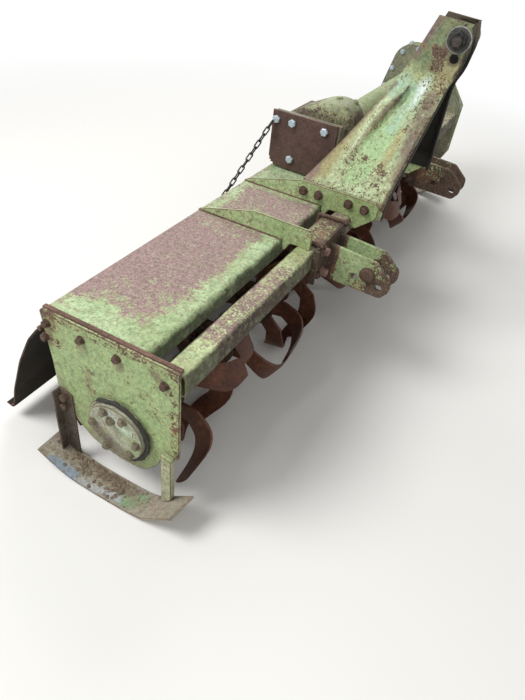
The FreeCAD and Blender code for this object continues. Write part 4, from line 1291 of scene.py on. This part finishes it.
CASE_X = 1.14
CASE_SIDES = (             # first bolt and last bolt of a side, and how many there are
    ((0.0, 0.29), (-0.002, 0.465), 2), ((0.006, 0.484), (0.128, 0.664), 3), ((0.18, 0.68), (0.3, 0.68), 2),
    ((0.322, 0.65), (0.364, 0.48), 3), ((0.358, 0.4), (0.338, 0.25), 3), ((0.3, 0.15), (0.08, 0.13), 3),
)
PLATE_BOLTS = ((0.16, 0.672), (0.24, 0.678), (0.311, 0.655), (0.343, 0.58), (0.363, 0.5))
case_bolts = []
for (y, z), (next_y, next_z), count in CASE_SIDES:
    for k in range(count):
        share = k / (count - 1)
        case_bolts.append((y + (next_y - y) * share, z + (next_z - z) * share))
bolts("case_cover_bolts", at_x(CASE_X, case_bolts), RIGHTWARD, 0.0085, 0.007, "zinc", 0.012)
bolts("case_cover_nuts", at_x(CASE_X - 0.006, case_bolts), LEFTWARD, 0.008, 0.008, "zinc")
bolts("left_plate_bolts", at_x(1.056, PLATE_BOLTS), LEFTWARD, 0.0095, 0.009, "zinc", 0.012)

# Camera, light and floor

VIEW_RIGHT = Vector((0.48297, -0.86952, 0.10330))
VIEW_DOWN = Vector((-0.53011, -0.38424, -0.75587))
VIEW_AHEAD = Vector((0.69694, 0.31030, -0.64652))
CAMERA_PLACE = (-1.797, -0.46, 1.225)
FOCAL_SHARE = 562 / 700    # focal length over the picture's height
FLOOR_SIZE = 14.0
FLOOR_DROP = 0.0005        # keeps the floor clear of the skids
FLOOR_FADE = (1.7, 3.6)    # the floor fades into the white background between these distances
WHITE_LIGHT = (1.0, 1.0, 1.0, 1.0)
SKY_STRENGTH = 0.36

camera = bpy.data.objects.new("camera", bpy.data.cameras.new("camera"))
bpy.context.scene.collection.objects.link(camera)
camera.data.sensor_width = 24.0
camera.data.lens = FOCAL_SHARE * camera.data.sensor_width
turn = Matrix((VIEW_RIGHT, -VIEW_DOWN, -VIEW_AHEAD)).transposed()
camera.matrix_world = Matrix.Translation(CAMERA_PLACE) @ turn.to_4x4()
bpy.context.scene.camera = camera

floor_mesh = bmesh.new()
bmesh.ops.create_grid(floor_mesh, x_segments=1, y_segments=1, size=FLOOR_SIZE)
floor_data = mesh_data("floor", floor_mesh)
floor = bpy.data.objects.new("floor", floor_data)
floor.location = (0.0, 0.0, -FLOOR_DROP)
bpy.context.scene.collection.objects.link(floor)
pale = Finish("pale_floor")
floor_data.materials.append(pale.done(srgb(234, 233, 229), 0.9, 0.0, 0.2))


def seen_directly(tree):
    """1 for rays from the camera, and for those that gloss or glass passes on."""
    rays = tree.nodes.new("ShaderNodeLightPath")
    seen = rays.outputs["Is Camera Ray"]
    for kind in ("Is Glossy Ray", "Is Transmission Ray"):
        either = tree.nodes.new("ShaderNodeMath")
        either.operation = "MAXIMUM"
        tree.links.new(seen, either.inputs[0])
        tree.links.new(rays.outputs[kind], either.inputs[1])
        seen = either.outputs[0]
    return seen


white_floor = pale.node("ShaderNodeEmission", [("Color", WHITE_LIGHT), ("Strength", 1.0)])
away = pale.step(pale.vector("LENGTH", pale.place), *FLOOR_FADE)
fade = pale.node("ShaderNodeMixShader", [(0, pale.calc("MULTIPLY", away, seen_directly(pale.tree)))])
pale.tree.links.new(pale.shader.outputs[0], fade.inputs[1])
pale.tree.links.new(white_floor.outputs[0], fade.inputs[2])
pale.tree.links.new(fade.outputs[0], pale.tree.nodes["Material Output"].inputs[0])

world = bpy.data.worlds.new("studio")
world.use_nodes = True
tree = world.node_tree
sky = tree.nodes["Background"]
sky.inputs["Color"].default_value = WHITE_LIGHT
sky.inputs["Strength"].default_value = SKY_STRENGTH
white = tree.nodes.new("ShaderNodeBackground")
white.inputs["Color"].default_value = WHITE_LIGHT
white.inputs["Strength"].default_value = 1.0
choice = tree.nodes.new("ShaderNodeMixShader")
tree.links.new(seen_directly(tree), choice.inputs[0])
tree.links.new(sky.outputs[0], choice.inputs[1])
tree.links.new(white.outputs[0], choice.inputs[2])
tree.links.new(choice.outputs[0], tree.nodes["World Output"].inputs[0])
bpy.context.scene.world = world


def lamp(name, place, target, size, power):
    light = bpy.data.lights.new(name, "AREA")
    light.shape = "DISK"
    light.size = size
    light.energy = power
    holder = bpy.data.objects.new(name, light)
    holder.location = place
    holder.rotation_euler = (Vector(target) - Vector(place)).to_track_quat("-Z", "Y").to_euler()
    bpy.context.scene.collection.objects.link(holder)


lamp("key", (-2.4, 2.0, 3.4), (-0.3, 0.1, 0.3), 2.0, 132.0)
lamp("far", (2.6, 1.4, 3.4), (0.9, 0.6, 0.0), 2.8, 80.0)
lamp("fill", (-3.0, -1.6, 2.4), (-0.4, 0.0, 0.3), 2.6, 26.0)
bpy.context.scene.view_settings.view_transform = "Standard"
